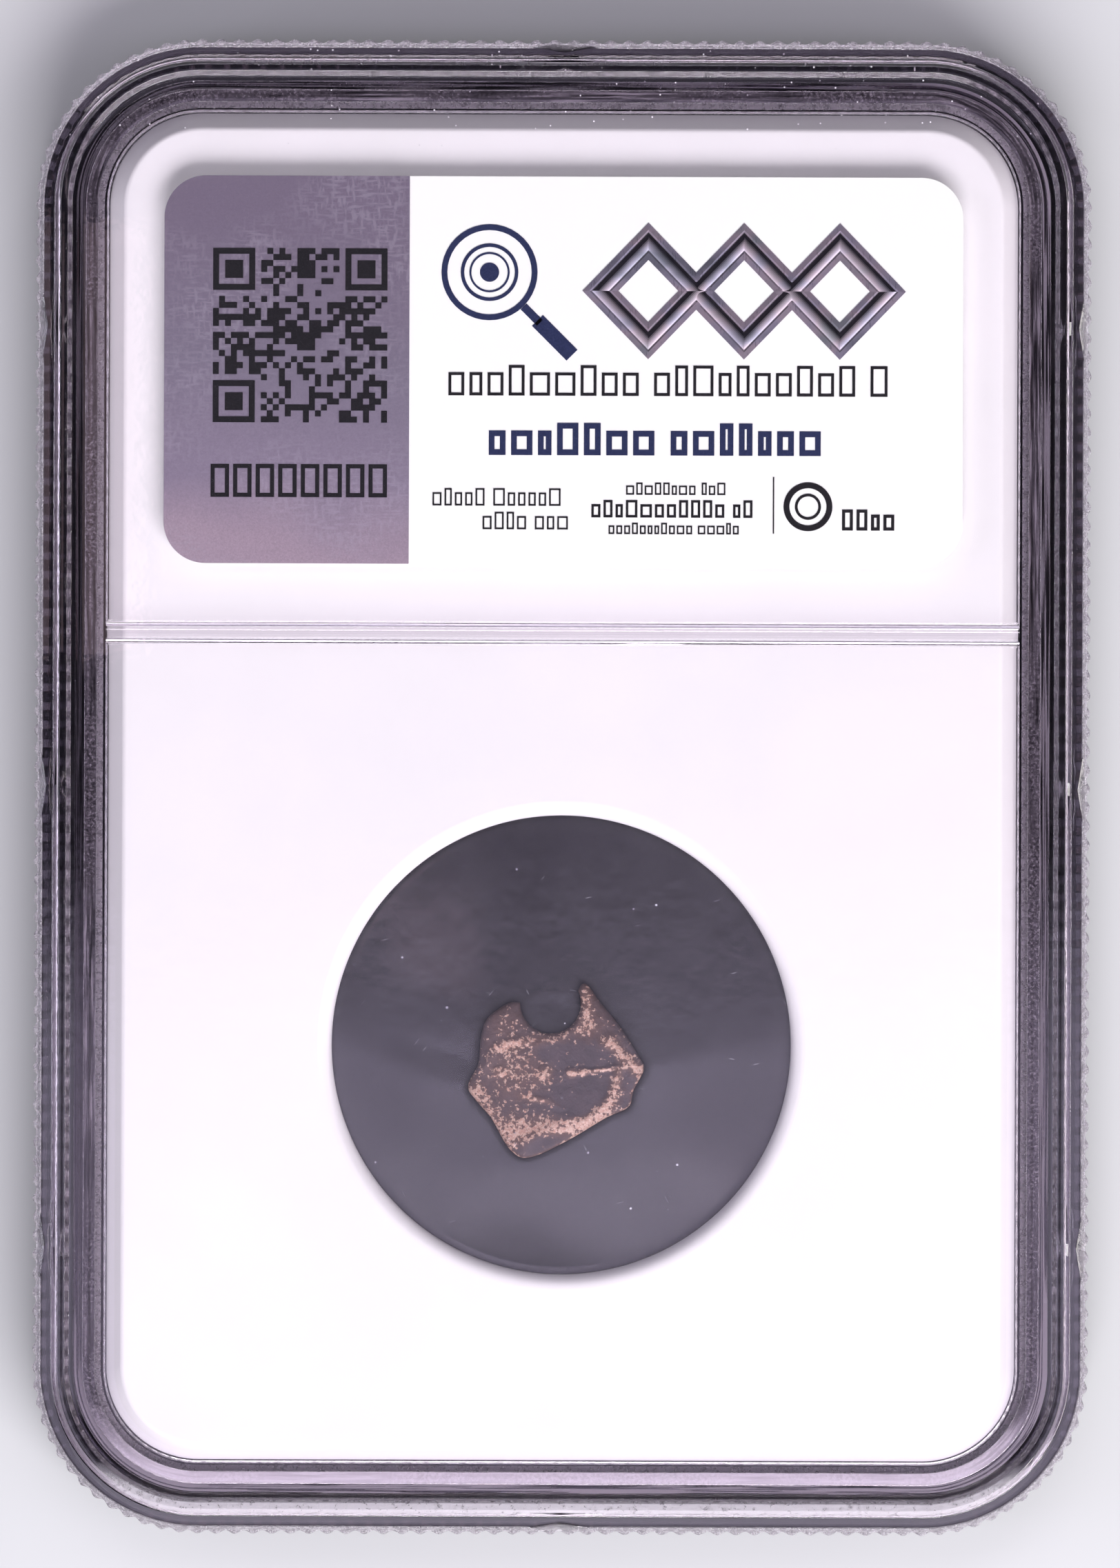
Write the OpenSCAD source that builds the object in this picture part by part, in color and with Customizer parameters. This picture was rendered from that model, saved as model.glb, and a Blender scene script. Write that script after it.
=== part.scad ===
// Graded coin slab: a welded two-half clear holder around a white insert, two films, a coin and two labels.
// The slab lies on its front ridge with its rear side up: X is its width, Y its length, Z its thickness.

/* [Holder] */
// Width over the serrations
slab_w = 60.4; // [56:0.1:70]
// Length over the serrations
slab_l = 85.5; // [82:0.1:100]
// Thickness over both ridges
slab_t = 8; // [8:0.1:10]
// Outer corner radius
corner_r = 9.5; // [8:0.1:14]
// Rim width, from the outer edge to the cavity wall
rim_w = 4.06; // [3.9:0.01:4.4]
// Thickness of each clear window
window_t = 1.25; // [0.8:0.05:1.4]
// Depth of each window below the ridge beside it
window_drop = 0.6; // [0.3:0.05:0.7]
// Depth of the outer flange below the ridge
flange_drop = 1.05; // [0.8:0.05:1.3]

/* [Serrations and notches] */
// Aimed distance from one serration to the next
serration_pitch = 1.065; // [0.9:0.005:1.5]
// Depth of the valleys between the serrations
serration_depth = 0.22; // [0.1:0.01:0.3]
// Length of each finger notch along the edge
notch_len = 4.1; // [2:0.1:6]
// Distance of the notches above and below the middle of the long sides
notch_y = 26.3; // [18:0.1:30]

/* [Divider rib] */
// Position of the rib along the slab
rib_y = 8.8; // [6:0.1:10]
// Width of the rib
rib_w = 1.15; // [0.8:0.05:1.5]

/* [Insert] */
// Height of the insert's face over the middle plane
insert_face = 1.15; // [1:0.05:1.2]
// Width of the chamfer round the insert's edge
insert_chamfer = 1; // [0.6:0.05:1]
// Play between the insert and the holder
insert_play = 0.05; // [0.03:0.01:0.2]
// Radius of the round aperture
aperture_r = 13.15; // [11:0.05:14]
// Position of the aperture along the slab
aperture_y = -14.75; // [-16:0.05:-14]
// Rounding of the aperture's lip
lip_r = 0.85; // [0.3:0.05:0.9]

/* [Labels] */
// Width of the label card
label_w = 45.7; // [40:0.1:47]
// Height of the label card
label_h = 22.2; // [18:0.1:23]
// Position of the label's middle along the slab
label_y = 23.85; // [23:0.05:24.5]
// Corner radius of the label card
label_r = 2.4; // [1:0.1:4]
// Thickness of the label card
label_t = 0.25; // [0.15:0.01:0.3]
// Width of the security foil strip on the rear label
strip_w = 14.03; // [8:0.01:16]

/* [Coin and films] */
// Thickness of the coin over its relief
coin_t = 1.1; // [0.8:0.05:1.4]
// Height of the coin's relief
relief_h = 0.15; // [0.05:0.01:0.25]
// Thickness of each film
film_t = 0.1; // [0.05:0.01:0.15]
// Radius of the flat middle of each film
film_flat_r = 7.3; // [6.8:0.1:9]

/* [Hidden] */
$fn = 64;

half_w = slab_w / 2;
half_l = slab_l / 2;
mid_z = slab_t / 2;
ridge_z = slab_t / 2;
window_z = ridge_z - window_drop;
window_in = window_z - window_t;
flange_z = ridge_z - flange_drop;

// Rim, as distances in from the outer edge
wall_d = serration_depth + 0.04;
edge_chamfer_d = 0.42;
edge_chamfer_h = 0.3;
serration_gap = 0.5;
notch_d = 0.75;
notch_slope = 38;
// How far past the flange's edge the notch's cutter opens, and how high over its valley it stands
notch_overcut = 1.6;
notch_cut_h = 2;
// Where the notch's cutter starts behind its deepest point, and its length
notch_cut_back = 1;
notch_cut_len = 4;
rear_ridge = [1.1, 1.34, 1.5, 1.9, 2.12];
front_ridge = [2.2, 2.35, 2.5, 3.0, 3.2];
ridge_shoulder = 0.2;
// How far joined bodies run into each other, so that they become one
lap = 0.2;
band_lap = 0.08;
rib_lap = 0.4;

// Weld joint, as distances in from the outer edge
groove_d = [2.85, 3.55];
tongue_d = [2.95, 3.45];
groove_h = 0.6;
tongue_h = 0.4;

// Insert and its pegs
pad_inset = 0.35;
pad_z = window_in - 0.4;
insert_d = rim_w + insert_play;
peg_r = 1;
peg_h = 0.8;
peg_play = 0.05;
peg_spots = [for (x = [-1, 1]) each [[x * 20, rib_y], [x * 20, -36]]];
rib_clear = 0.03;
lip_lap = 0.1;
overshoot = 1;

// Films
flange_r = 15;
cone_r = 12.9;
film_gap = 0.01;
flange_play = 0.1;

// Foils
foil_t = 0.04;
emblem_t = 0.06;
emblem_w = 7.564;
emblem_h = 7.84;
emblem_band = 1.5;
emblem_pitch = 5.478;
emblem_x = 10.31;
emblem_y = 28.41;

// Serrations on the short sides, the long sides and the corners
end_len = slab_w - 2 * corner_r;
side_len = slab_l - 2 * corner_r;
corner_len = corner_r * PI / 2;
end_count = round(end_len / serration_pitch);
side_count = round(side_len / serration_pitch);
corner_count = round(corner_len / serration_pitch);
valley_r = 0.5;

module rounded_plate(w, l, r) {
    square([w - 2 * r, l], center = true);
    square([w, l - 2 * r], center = true);
    for (x = [-1, 1], y = [-1, 1])
        translate([x * (w / 2 - r), y * (l / 2 - r)]) circle(r);
}

// The holder's outline, moved in by a distance d
module outline(d) {
    rounded_plate(slab_w - 2 * d, slab_l - 2 * d, corner_r - d);
}

// Carries a profile of [distance in, height] points once round the holder
module ring_sweep(profile) {
    straight = [for (p = profile) [-p[0], p[1]]];
    turned = [for (p = profile) [corner_r - p[0], p[1]]];
    for (k = [0, 1]) rotate(180 * k) {
        translate([half_w, side_len / 2, 0]) rotate([90, 0, 0]) linear_extrude(side_len) polygon(straight);
        translate([-end_len / 2, half_l, 0]) rotate([90, 0, 90]) linear_extrude(end_len) polygon(straight);
        translate([end_len / 2, side_len / 2, 0]) rotate_extrude(angle = 90) polygon(turned);
        translate([-end_len / 2, side_len / 2, 0]) rotate(90) rotate_extrude(angle = 90) polygon(turned);
    }
}

// Places its child at each valley between two serrations, with +X pointing out of the edge
module at_valleys() {
    for (k = [0, 1]) rotate(180 * k) {
        for (i = [0 : side_count - 1])
            translate([half_w, side_len * ((i + 0.5) / side_count - 0.5)]) children();
        for (i = [0 : end_count - 1])
            translate([end_len * ((i + 0.5) / end_count - 0.5), half_l]) rotate(90) children();
        for (c = [0, 1], i = [0 : corner_count - 1])
            translate([(c == 0 ? 1 : -1) * end_len / 2, side_len / 2])
                rotate(90 * c + 90 * (i + 0.5) / corner_count) translate([corner_r, 0]) children();
    }
}

module serrated_band() {
    linear_extrude(flange_z - serration_gap) difference() {
        outline(0);
        outline(wall_d + band_lap);
        at_valleys() translate([valley_r - serration_depth, 0]) circle(valley_r);
    }
}

// A shallow V cut over the edge of the flange, with its valley running down and outwards
module edge_notch() {
    open_h = (notch_d - edge_chamfer_d) * sin(notch_slope);
    half_len = notch_len / 2 * notch_overcut;
    rise = open_h * notch_overcut;
    translate([-notch_d, 0, flange_z]) rotate([0, 90 + notch_slope, 0]) translate([0, 0, -notch_cut_back])
        linear_extrude(notch_cut_len) polygon([
            [0, 0], [-rise, half_len], [-notch_cut_h, half_len], [-notch_cut_h, -half_len], [-rise, -half_len],
        ]);
}

module edge_notches() {
    for (k = [0, 1]) rotate(180 * k) {
        for (y = [-notch_y, 0, notch_y]) translate([half_w, y, 0]) edge_notch();
        translate([0, half_l, 0]) rotate(90) edge_notch();
    }
}

module divider_rib() {
    tip_r = rib_w / 2;
    low = insert_face + rib_clear;
    translate([-half_w + rim_w - rib_lap, rib_y, 0]) rotate([90, 0, 90])
        linear_extrude(slab_w - 2 * (rim_w - rib_lap)) {
            translate([-tip_r, low + tip_r]) square([rib_w, window_in - low - tip_r + lap]);
            translate([0, low + tip_r]) circle(tip_r);
        }
}

// One clear half about the middle plane, with its window up
module shell_half(ridge, joint) {
    difference() {
        union() {
            ring_sweep(concat([
                [wall_d, 0], [wall_d, flange_z - edge_chamfer_h], [edge_chamfer_d, flange_z],
                [ridge[0], flange_z], [ridge[1], ridge_z - ridge_shoulder], [ridge[2], ridge_z],
                [ridge[3], ridge_z], [ridge[4], window_z], [rim_w, window_z], [rim_w, 0],
            ], joint));
            translate([0, 0, window_in]) linear_extrude(window_t) outline(rim_w - lap);
            serrated_band();
            divider_rib();
        }
        edge_notches();
    }
}

module insert_blank() {
    land = insert_face - insert_chamfer;
    in_d = insert_d + insert_chamfer;
    ring_in = in_d + 1.5 * lap;
    ring_sweep([[insert_d, 0], [insert_d, land], [in_d, insert_face], [ring_in, insert_face], [ring_in, 0]]);
    linear_extrude(insert_face) outline(in_d + lap);
    translate([0, label_y, 0]) linear_extrude(pad_z)
        rounded_plate(label_w - 2 * pad_inset, label_h - 2 * pad_inset, label_r - pad_inset);
}

// One half of the white core about the middle plane, with its label pad up
module insert_half() {
    difference() {
        insert_blank();
        translate([0, aperture_y, 0]) {
            translate([0, 0, -overshoot]) cylinder(r = aperture_r, h = insert_face + 2 * overshoot);
            translate([0, 0, -overshoot]) cylinder(r = flange_r + flange_play, h = overshoot + film_t);
            rotate_extrude() difference() {
                translate([aperture_r - lip_lap, insert_face - lip_r]) square(lip_r + lip_lap);
                translate([aperture_r + lip_r, insert_face - lip_r]) circle(lip_r);
            }
        }
    }
}

// One film about the middle plane: clamped flange, cone, and flat middle on the coin
module film_half() {
    top = coin_t / 2 + film_gap;
    translate([0, aperture_y, 0]) rotate_extrude() polygon([
        [0, top], [film_flat_r, top], [cone_r, 0], [flange_r, 0],
        [flange_r, film_t], [cone_r, film_t], [film_flat_r, top + film_t], [0, top + film_t],
    ]);
}

module label_card() {
    translate([0, label_y, 0]) rounded_plate(label_w, label_h, label_r);
}

module lozenge(w, h) {
    polygon([[w / 2, 0], [0, h / 2], [-w / 2, 0], [0, -h / 2]]);
}

// A chain of three overlapping open lozenges
module foil_lozenges() {
    open_share = 1 - emblem_band * norm([emblem_w, emblem_h]) * 2 / (emblem_w * emblem_h);
    for (i = [-1 : 1]) translate([emblem_x + i * emblem_pitch, emblem_y]) difference() {
        lozenge(emblem_w, emblem_h);
        lozenge(emblem_w * open_share, emblem_h * open_share);
    }
}

// The coin's outline from its middle line, anticlockwise from the right horn
coin_edge = [
    [1.26, 3.52], [0.4, 2.2], [-1.6, 2.2], [-2.7, 2.45], [-3.49, 2.11], [-4.3, 1.4], [-4.62, 0.3],
    [-4.75, -1.09], [-5.33, -2.38], [-4.81, -3.26], [-4.0, -4.2], [-3.2, -5.62], [-2.73, -6.18],
    [-2.17, -6.47], [-1.23, -6.28], [0.66, -5.33], [2.54, -4.2], [3.86, -3.54], [4.15, -2.6],
    [4.75, -1.38], [4.49, -0.72], [3.4, 1.0], [2.26, 2.39],
];
bite_at = [-0.62, 2.38];
bite_r = 1.74;
// Relief pellets: [x, y, radius]
pellets = [
    [0.57, -1.7, 0.28], [1.26, -1.62, 0.28], [-0.94, -1.66, 0.35], [-3.3, -1.66, 0.3], [2.73, 0.04, 0.45],
];
// Relief bars: [x, y, length, angle]
bars = [[0.47, -1.66, 2.8, 6], [2.26, -4.02, 3.5, 70], [-1.6, -4.9, 3.6, 22]];
bar_w = 0.28;
relief_root = 0.05;

module coin_relief() {
    for (p = pellets) translate([p[0], p[1]]) circle(p[2]);
    for (b = bars) translate([b[0], b[1]]) rotate(b[3]) translate([0, -bar_w / 2]) square([b[2], bar_w]);
}

module coin() {
    body_t = coin_t - 2 * relief_h;
    color("sienna") translate([0, aperture_y, mid_z]) {
        translate([0, 0, -body_t / 2]) linear_extrude(body_t) difference() {
            polygon(coin_edge);
            translate(bite_at) circle(bite_r);
        }
        for (k = [0, 1]) rotate([0, 180 * k, 0]) mirror([k, 0, 0])
            translate([0, 0, body_t / 2 - relief_root]) linear_extrude(relief_h + relief_root) coin_relief();
    }
}

module rear_side() {
    translate([0, 0, mid_z]) children();
}

module front_side() {
    translate([0, 0, mid_z]) rotate([0, 180, 0]) children();
}

module rear_shell() {
    color("lightsteelblue", 0.4) rear_side()
        shell_half(rear_ridge, [
            [groove_d[1], 0], [groove_d[1], groove_h], [groove_d[0], groove_h], [groove_d[0], 0],
        ]);
}

module front_shell() {
    color("lightsteelblue", 0.4) front_side()
        shell_half(front_ridge, [
            [tongue_d[1], 0], [tongue_d[1], -tongue_h], [tongue_d[0], -tongue_h], [tongue_d[0], 0],
        ]);
}

module weld_seam() {
    color("lavender") rear_side()
        ring_sweep([
            [groove_d[0], tongue_h], [groove_d[1], tongue_h], [groove_d[1], groove_h], [groove_d[0], groove_h],
        ]);
}

module rear_insert() {
    color("white") rear_side() {
        insert_half();
        for (p = peg_spots) translate([p[0], p[1], -peg_h]) cylinder(r = peg_r, h = peg_h + lap);
    }
}

module front_insert() {
    color("white") difference() {
        front_side() insert_half();
        for (p = peg_spots) translate([p[0], p[1], mid_z - peg_h - peg_play])
            cylinder(r = peg_r + peg_play, h = peg_h + peg_play + lap);
    }
}

module rear_film() {
    color("slategray", 0.6) rear_side() film_half();
}

module front_film() {
    color("slategray", 0.6) front_side() film_half();
}

module rear_label() {
    color("azure") rear_side() translate([0, 0, pad_z]) linear_extrude(label_t) label_card();
}

module front_label() {
    color("azure") front_side() translate([0, 0, pad_z]) linear_extrude(label_t) label_card();
}

module rear_label_foil_strip() {
    color("slategray") rear_side() translate([0, 0, pad_z + label_t]) linear_extrude(foil_t) intersection() {
        label_card();
        translate([-label_w / 2, label_y - label_h / 2]) square([strip_w, label_h]);
    }
}

module rear_label_foil_emblem() {
    color("dimgray") rear_side() translate([0, 0, pad_z + label_t]) linear_extrude(emblem_t) foil_lozenges();
}

module front_label_foil_emblem() {
    color("dimgray") front_side() translate([0, 0, pad_z + label_t]) linear_extrude(emblem_t) foil_lozenges();
}

front_shell();
rear_shell();
weld_seam();
front_insert();
rear_insert();
front_film();
rear_film();
coin();
front_label();
front_label_foil_emblem();
rear_label();
rear_label_foil_strip();
rear_label_foil_emblem();
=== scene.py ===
"""Looks of the graded coin slab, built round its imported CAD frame.

Lengths in this file are in millimetres in the row frame, with Z measured from the slab's middle plane
unless a name says otherwise, and they become metres only when a mesh or an object is made. The lamps and
the camera are placed in metres, from the floor.
"""

import math
import random

import bmesh
import bpy
import numpy as np
from mathutils import Matrix, Vector, noise


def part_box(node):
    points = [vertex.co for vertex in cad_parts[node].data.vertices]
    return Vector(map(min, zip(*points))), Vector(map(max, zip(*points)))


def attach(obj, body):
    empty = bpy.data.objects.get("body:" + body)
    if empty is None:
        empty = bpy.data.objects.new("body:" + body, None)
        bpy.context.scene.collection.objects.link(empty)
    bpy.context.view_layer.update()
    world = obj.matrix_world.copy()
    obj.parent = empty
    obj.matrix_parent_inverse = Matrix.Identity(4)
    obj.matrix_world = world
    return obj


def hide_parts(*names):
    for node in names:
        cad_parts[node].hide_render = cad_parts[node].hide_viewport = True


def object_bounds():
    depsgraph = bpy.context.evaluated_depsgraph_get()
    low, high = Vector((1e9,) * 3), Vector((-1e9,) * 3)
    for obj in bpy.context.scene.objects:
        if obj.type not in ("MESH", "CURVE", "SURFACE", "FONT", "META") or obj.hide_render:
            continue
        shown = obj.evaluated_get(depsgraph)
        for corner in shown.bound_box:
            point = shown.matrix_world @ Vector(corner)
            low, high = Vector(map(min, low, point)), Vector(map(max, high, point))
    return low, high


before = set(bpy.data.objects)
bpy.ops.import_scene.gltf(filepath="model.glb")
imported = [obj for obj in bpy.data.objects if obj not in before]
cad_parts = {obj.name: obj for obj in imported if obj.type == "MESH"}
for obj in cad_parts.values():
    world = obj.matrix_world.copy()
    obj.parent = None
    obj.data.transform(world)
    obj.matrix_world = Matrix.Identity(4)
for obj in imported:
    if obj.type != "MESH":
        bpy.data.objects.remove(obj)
cad_low, cad_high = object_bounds()
MM = 0.001

# ---------------------------------------------------------------- sizes, from the frame

SLAB_W = (cad_high.x - cad_low.x) / MM
SLAB_L = (cad_high.y - cad_low.y) / MM
MID_Z = (cad_high.z + cad_low.z) / 2 / MM
RIDGE_Z = (cad_high.z - cad_low.z) / 2 / MM
coin_low, coin_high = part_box("coin")
COIN_HALF = (coin_high.z - coin_low.z) / 2 / MM
insert_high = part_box("rear_insert")[1]
PAD_Z = insert_high.z / MM - MID_Z
INSERT_EDGE = SLAB_W / 2 - insert_high.x / MM
label_low, label_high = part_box("rear_label")
LABEL_W = (label_high.x - label_low.x) / MM
LABEL_H = (label_high.y - label_low.y) / MM
LABEL_Y = (label_high.y + label_low.y) / 2 / MM
CARD_TOP = label_high.z / MM - MID_Z
strip_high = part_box("rear_label_foil_strip")[1]
STRIP_END = strip_high.x / MM
FOIL_TOP = strip_high.z / MM - MID_Z
emblem_low, emblem_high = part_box("rear_label_foil_emblem")
EMBLEM_X = (emblem_high.x + emblem_low.x) / 2 / MM
EMBLEM_Y = (emblem_high.y + emblem_low.y) / 2 / MM
EMBLEM_H = (emblem_high.y - emblem_low.y) / MM
film_low, film_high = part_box("rear_film")
FILM_R = (film_high.x - film_low.x) / 2 / MM
APERTURE_Y = (film_high.y + film_low.y) / 2 / MM

# ---------------------------------------------------------------- sizes, as part.scad has them

CORNER_R = 9.5
RIM_W = 4.06
WINDOW_Z = 3.4
WINDOW_IN = 2.15
FLANGE_Z = 2.95
WALL_D = 0.26
SERRATION_DEPTH = 0.22
SERRATION_PITCH = 1.065
SERRATION_TOP = 2.45
NOTCH_D = 0.75
NOTCH_LEN = 4.1
NOTCH_SLOPE = math.radians(38)
NOTCH_Y = 26.3
EDGE_CHAMFER_D = 0.42
RIB_Y = 8.8
RIB_W = 1.15
RIB_LOW = 1.18
INSERT_FACE = 1.15
APERTURE_R = 13.15
LIP_R = 0.85
PEG_SPOTS = [(x, y) for x in (-20, 20) for y in (RIB_Y, -36)]
PEG_R = 1.0
LABEL_R = 2.4
FILM_T = 0.1
FILM_CONE_R = 12.9
SAMPLES_PER_SERRATION = 8


# ---------------------------------------------------------------- mesh helpers

def new_object(name, verts, faces, smooth=True):
    """A mesh object from points in millimetres over the middle plane."""
    mesh = bpy.data.meshes.new(name)
    points = np.asarray(verts, float) * MM + np.array([0, 0, MID_Z * MM])
    mesh.from_pydata(points.tolist(), [], faces)
    mesh.polygons.foreach_set("use_smooth", [smooth] * len(mesh.polygons))
    mesh.update()
    thing = bpy.data.objects.new(name, mesh)
    bpy.context.scene.collection.objects.link(thing)
    return thing


def ring_faces(rings, n, closed=False):
    """Quads between neighbouring rings of n points. Closed joins the last ring to the first."""
    return [(j * n + i, j * n + (i + 1) % n, (j + 1) % rings * n + (i + 1) % n, (j + 1) % rings * n + i)
            for j in range(rings if closed else rings - 1) for i in range(n)]


def stack_faces(rings, n):
    """The quads between the rings, with a flat face over the first ring and over the last one."""
    return [tuple(range(n - 1, -1, -1)), tuple(range((rings - 1) * n, rings * n)), *ring_faces(rings, n)]


def shifted(faces, first):
    """The same faces over points that start at number first."""
    return [tuple(first + v for v in face) for face in faces]


def cut_or_join(target, tool, operation):
    """Applies one boolean with the tool, and throws the tool away."""
    step = target.modifiers.new("step", "BOOLEAN")
    step.operation, step.solver, step.object = operation, "MANIFOLD", tool
    dg = bpy.context.evaluated_depsgraph_get()
    made = bpy.data.meshes.new_from_object(target.evaluated_get(dg))
    target.modifiers.clear()
    old, target.data = target.data, made
    bpy.data.meshes.remove(old)
    bpy.data.objects.remove(tool)


def right_way_out(thing):
    """Turns every face of a closed mesh outward."""
    work = bmesh.new()
    work.from_mesh(thing.data)
    bmesh.ops.recalc_face_normals(work, faces=work.faces)
    work.to_mesh(thing.data)
    work.free()
    return thing


def crisp(thing, angle=33):
    """Smooth shading that stops at real edges and stays level on the flats."""
    mesh = thing.data
    mesh.polygons.foreach_set("use_smooth", [True] * len(mesh.polygons))
    mesh.set_sharp_from_angle(angle=math.radians(angle))
    level = thing.modifiers.new("level", "WEIGHTED_NORMAL")
    level.keep_sharp = True
    return thing


def finish_piece(thing, node=None, material=None):
    """Rides the piece on the slab, gives it a material if one is given, and hides the CAD part that it stands
    in for if one is named.
    """
    if material is not None:
        thing.data.materials.clear()
        thing.data.materials.append(material)
    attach(thing, "root")
    if node:
        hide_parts(node)
    return thing


def turn_over(thing):
    """The same piece on the other side of the middle plane, as a half turn about Y."""
    spin = Matrix.Translation((0, 0, MID_Z * MM)) @ Matrix.Rotation(math.pi, 4, "Y")
    thing.data.transform(spin @ Matrix.Translation((0, 0, -MID_Z * MM)))
    thing.data.update()
    return thing


def round_corners(points, steps=4):
    """A profile of (across, up, radius, follow) corners with every corner rounded to its radius."""
    out = []
    for i, (x, z, r, follow) in enumerate(points):
        here = np.array([x, z])
        before = np.array(points[i - 1][:2]) - here
        after = np.array(points[(i + 1) % len(points)][:2]) - here
        a, b = np.linalg.norm(before), np.linalg.norm(after)
        before, after = before / a, after / b
        half = math.acos(np.clip(before @ after, -1, 1)) / 2
        reach = min(r / math.tan(half), a * 0.48, b * 0.48)
        if r <= 0 or math.degrees(half) > 87:
            out.append((x, z, follow))
            continue
        start, end = here + before * reach, here + after * reach
        for k in range(steps + 1):
            t = k / steps
            p = (1 - t) ** 2 * start + 2 * t * (1 - t) * here + t ** 2 * end
            out.append((p[0], p[1], follow))
    return out


def edge_stations():
    """Points round the holder's outline: position, outward direction, serration phase and distance run."""
    end, side = SLAB_W / 2 - CORNER_R, SLAB_L / 2 - CORNER_R
    rows, run = [], 0.0
    corner = CORNER_R * math.pi / 2
    for k in range(4):
        length = 2 * (side if k % 2 == 0 else end)
        angle = k * math.pi / 2
        out = np.array([math.cos(angle), math.sin(angle)])
        along = np.array([-out[1], out[0]])
        reach = SLAB_W / 2 if k % 2 == 0 else SLAB_L / 2
        count = round(length / SERRATION_PITCH)
        n = count * SAMPLES_PER_SERRATION
        for i in range(n):
            t = i / n
            rows.append((*(out * reach + along * length * (t - 0.5)), *out, t * count, run + t * length))
        run += length
        centre = out * (reach - CORNER_R) + along * length / 2
        count = round(corner / SERRATION_PITCH)
        n = count * SAMPLES_PER_SERRATION
        for i in range(n):
            t = i / n
            turn = np.array([math.cos(angle + t * math.pi / 2), math.sin(angle + t * math.pi / 2)])
            rows.append((*(centre + turn * CORNER_R), *turn, t * count, run + t * corner))
        run += corner
    return np.array(rows)


STATIONS = edge_stations()


def smooth_noise(points, scale, seed):
    """Gentle noise from -1 to 1 at each point."""
    shift = Vector((seed * 17.3, seed * 5.1, seed * 9.7))
    return np.array([noise.noise(Vector(p) * scale + shift) for p in points])


def scallops(wear):
    """How far in the serrated wall lies at each station."""
    phase = STATIONS[:, 4]
    depth = SERRATION_DEPTH * (0.5 - 0.5 * np.cos(2 * math.pi * phase))
    rough = 0.5 + 0.5 * smooth_noise(np.c_[STATIONS[:, :2], np.zeros(len(STATIONS))], 1.7, wear)
    return depth * 0.93 + 0.03 * rough


def plate_with_rim(name, profile, wear):
    """A closed body: a profile carried round the holder, with flat faces over its first and last rings."""
    base, out = STATIONS[:, :2], STATIONS[:, 2:4]
    wall = scallops(wear)
    rings = []
    for d, z, follow in profile:
        inset = d + follow * wall
        rings.append(np.c_[base - out * inset[:, None], np.full(len(base), z)])
    return new_object(name, np.concatenate(rings), stack_faces(len(rings), len(base)))


def prism(name, outline, low, high):
    """A straight prism over an anticlockwise outline in X and Y."""
    verts = [(x, y, z) for z in (low, high) for x, y in outline]
    return new_object(name, verts, stack_faces(2, len(outline)))


def circle(x, y, r, steps):
    return [(x + r * math.cos(2 * math.pi * i / steps), y + r * math.sin(2 * math.pi * i / steps))
            for i in range(steps)]


def rectangle(x0, y0, x1, y1):
    return [(x0, y0), (x1, y0), (x1, y1), (x0, y1)]


def lathe(name, profile, y, steps):
    """A closed profile of (radius, height) points turned about the upright line through (0, y)."""
    verts, faces = [], []
    n = len(profile)
    for i in range(steps):
        a = 2 * math.pi * i / steps
        verts += [(r * math.cos(a), y + r * math.sin(a), z) for r, z in profile]
    for i in range(steps):
        k = (i + 1) % steps
        for j in range(n):
            q = (j + 1) % n
            faces.append((i * n + j, k * n + j, k * n + q, i * n + q))
    thing = new_object(name, verts, faces)
    work = bmesh.new()
    work.from_mesh(thing.data)
    bmesh.ops.remove_doubles(work, verts=work.verts, dist=1e-9)
    bmesh.ops.dissolve_degenerate(work, dist=1e-9, edges=work.edges)
    bmesh.ops.recalc_face_normals(work, faces=work.faces)
    work.to_mesh(thing.data)
    work.free()
    return thing


def label_outline(w, h, r, steps=12):
    """An anticlockwise rounded rectangle about the label's centre."""
    out = []
    for k, (sx, sy) in enumerate(((1, 1), (-1, 1), (-1, -1), (1, -1))):
        for i in range(steps + 1):
            a = math.pi / 2 * (k + i / steps)
            out.append((sx * (w / 2 - r) + r * math.cos(a), LABEL_Y + sy * (h / 2 - r) + r * math.sin(a)))
    return out


def rounded_block(name, w, h, r, rings, steps=12):
    """A rounded block at the label's place. Each ring says how far it lies inside w by h, and its height."""
    verts = [(x, y, z) for cut, z in rings
             for x, y in label_outline(w - 2 * cut, h - 2 * cut, r - cut, steps)]
    return new_object(name, verts, stack_faces(len(rings), 4 * (steps + 1)))


# ---------------------------------------------------------------- material helpers

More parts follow.
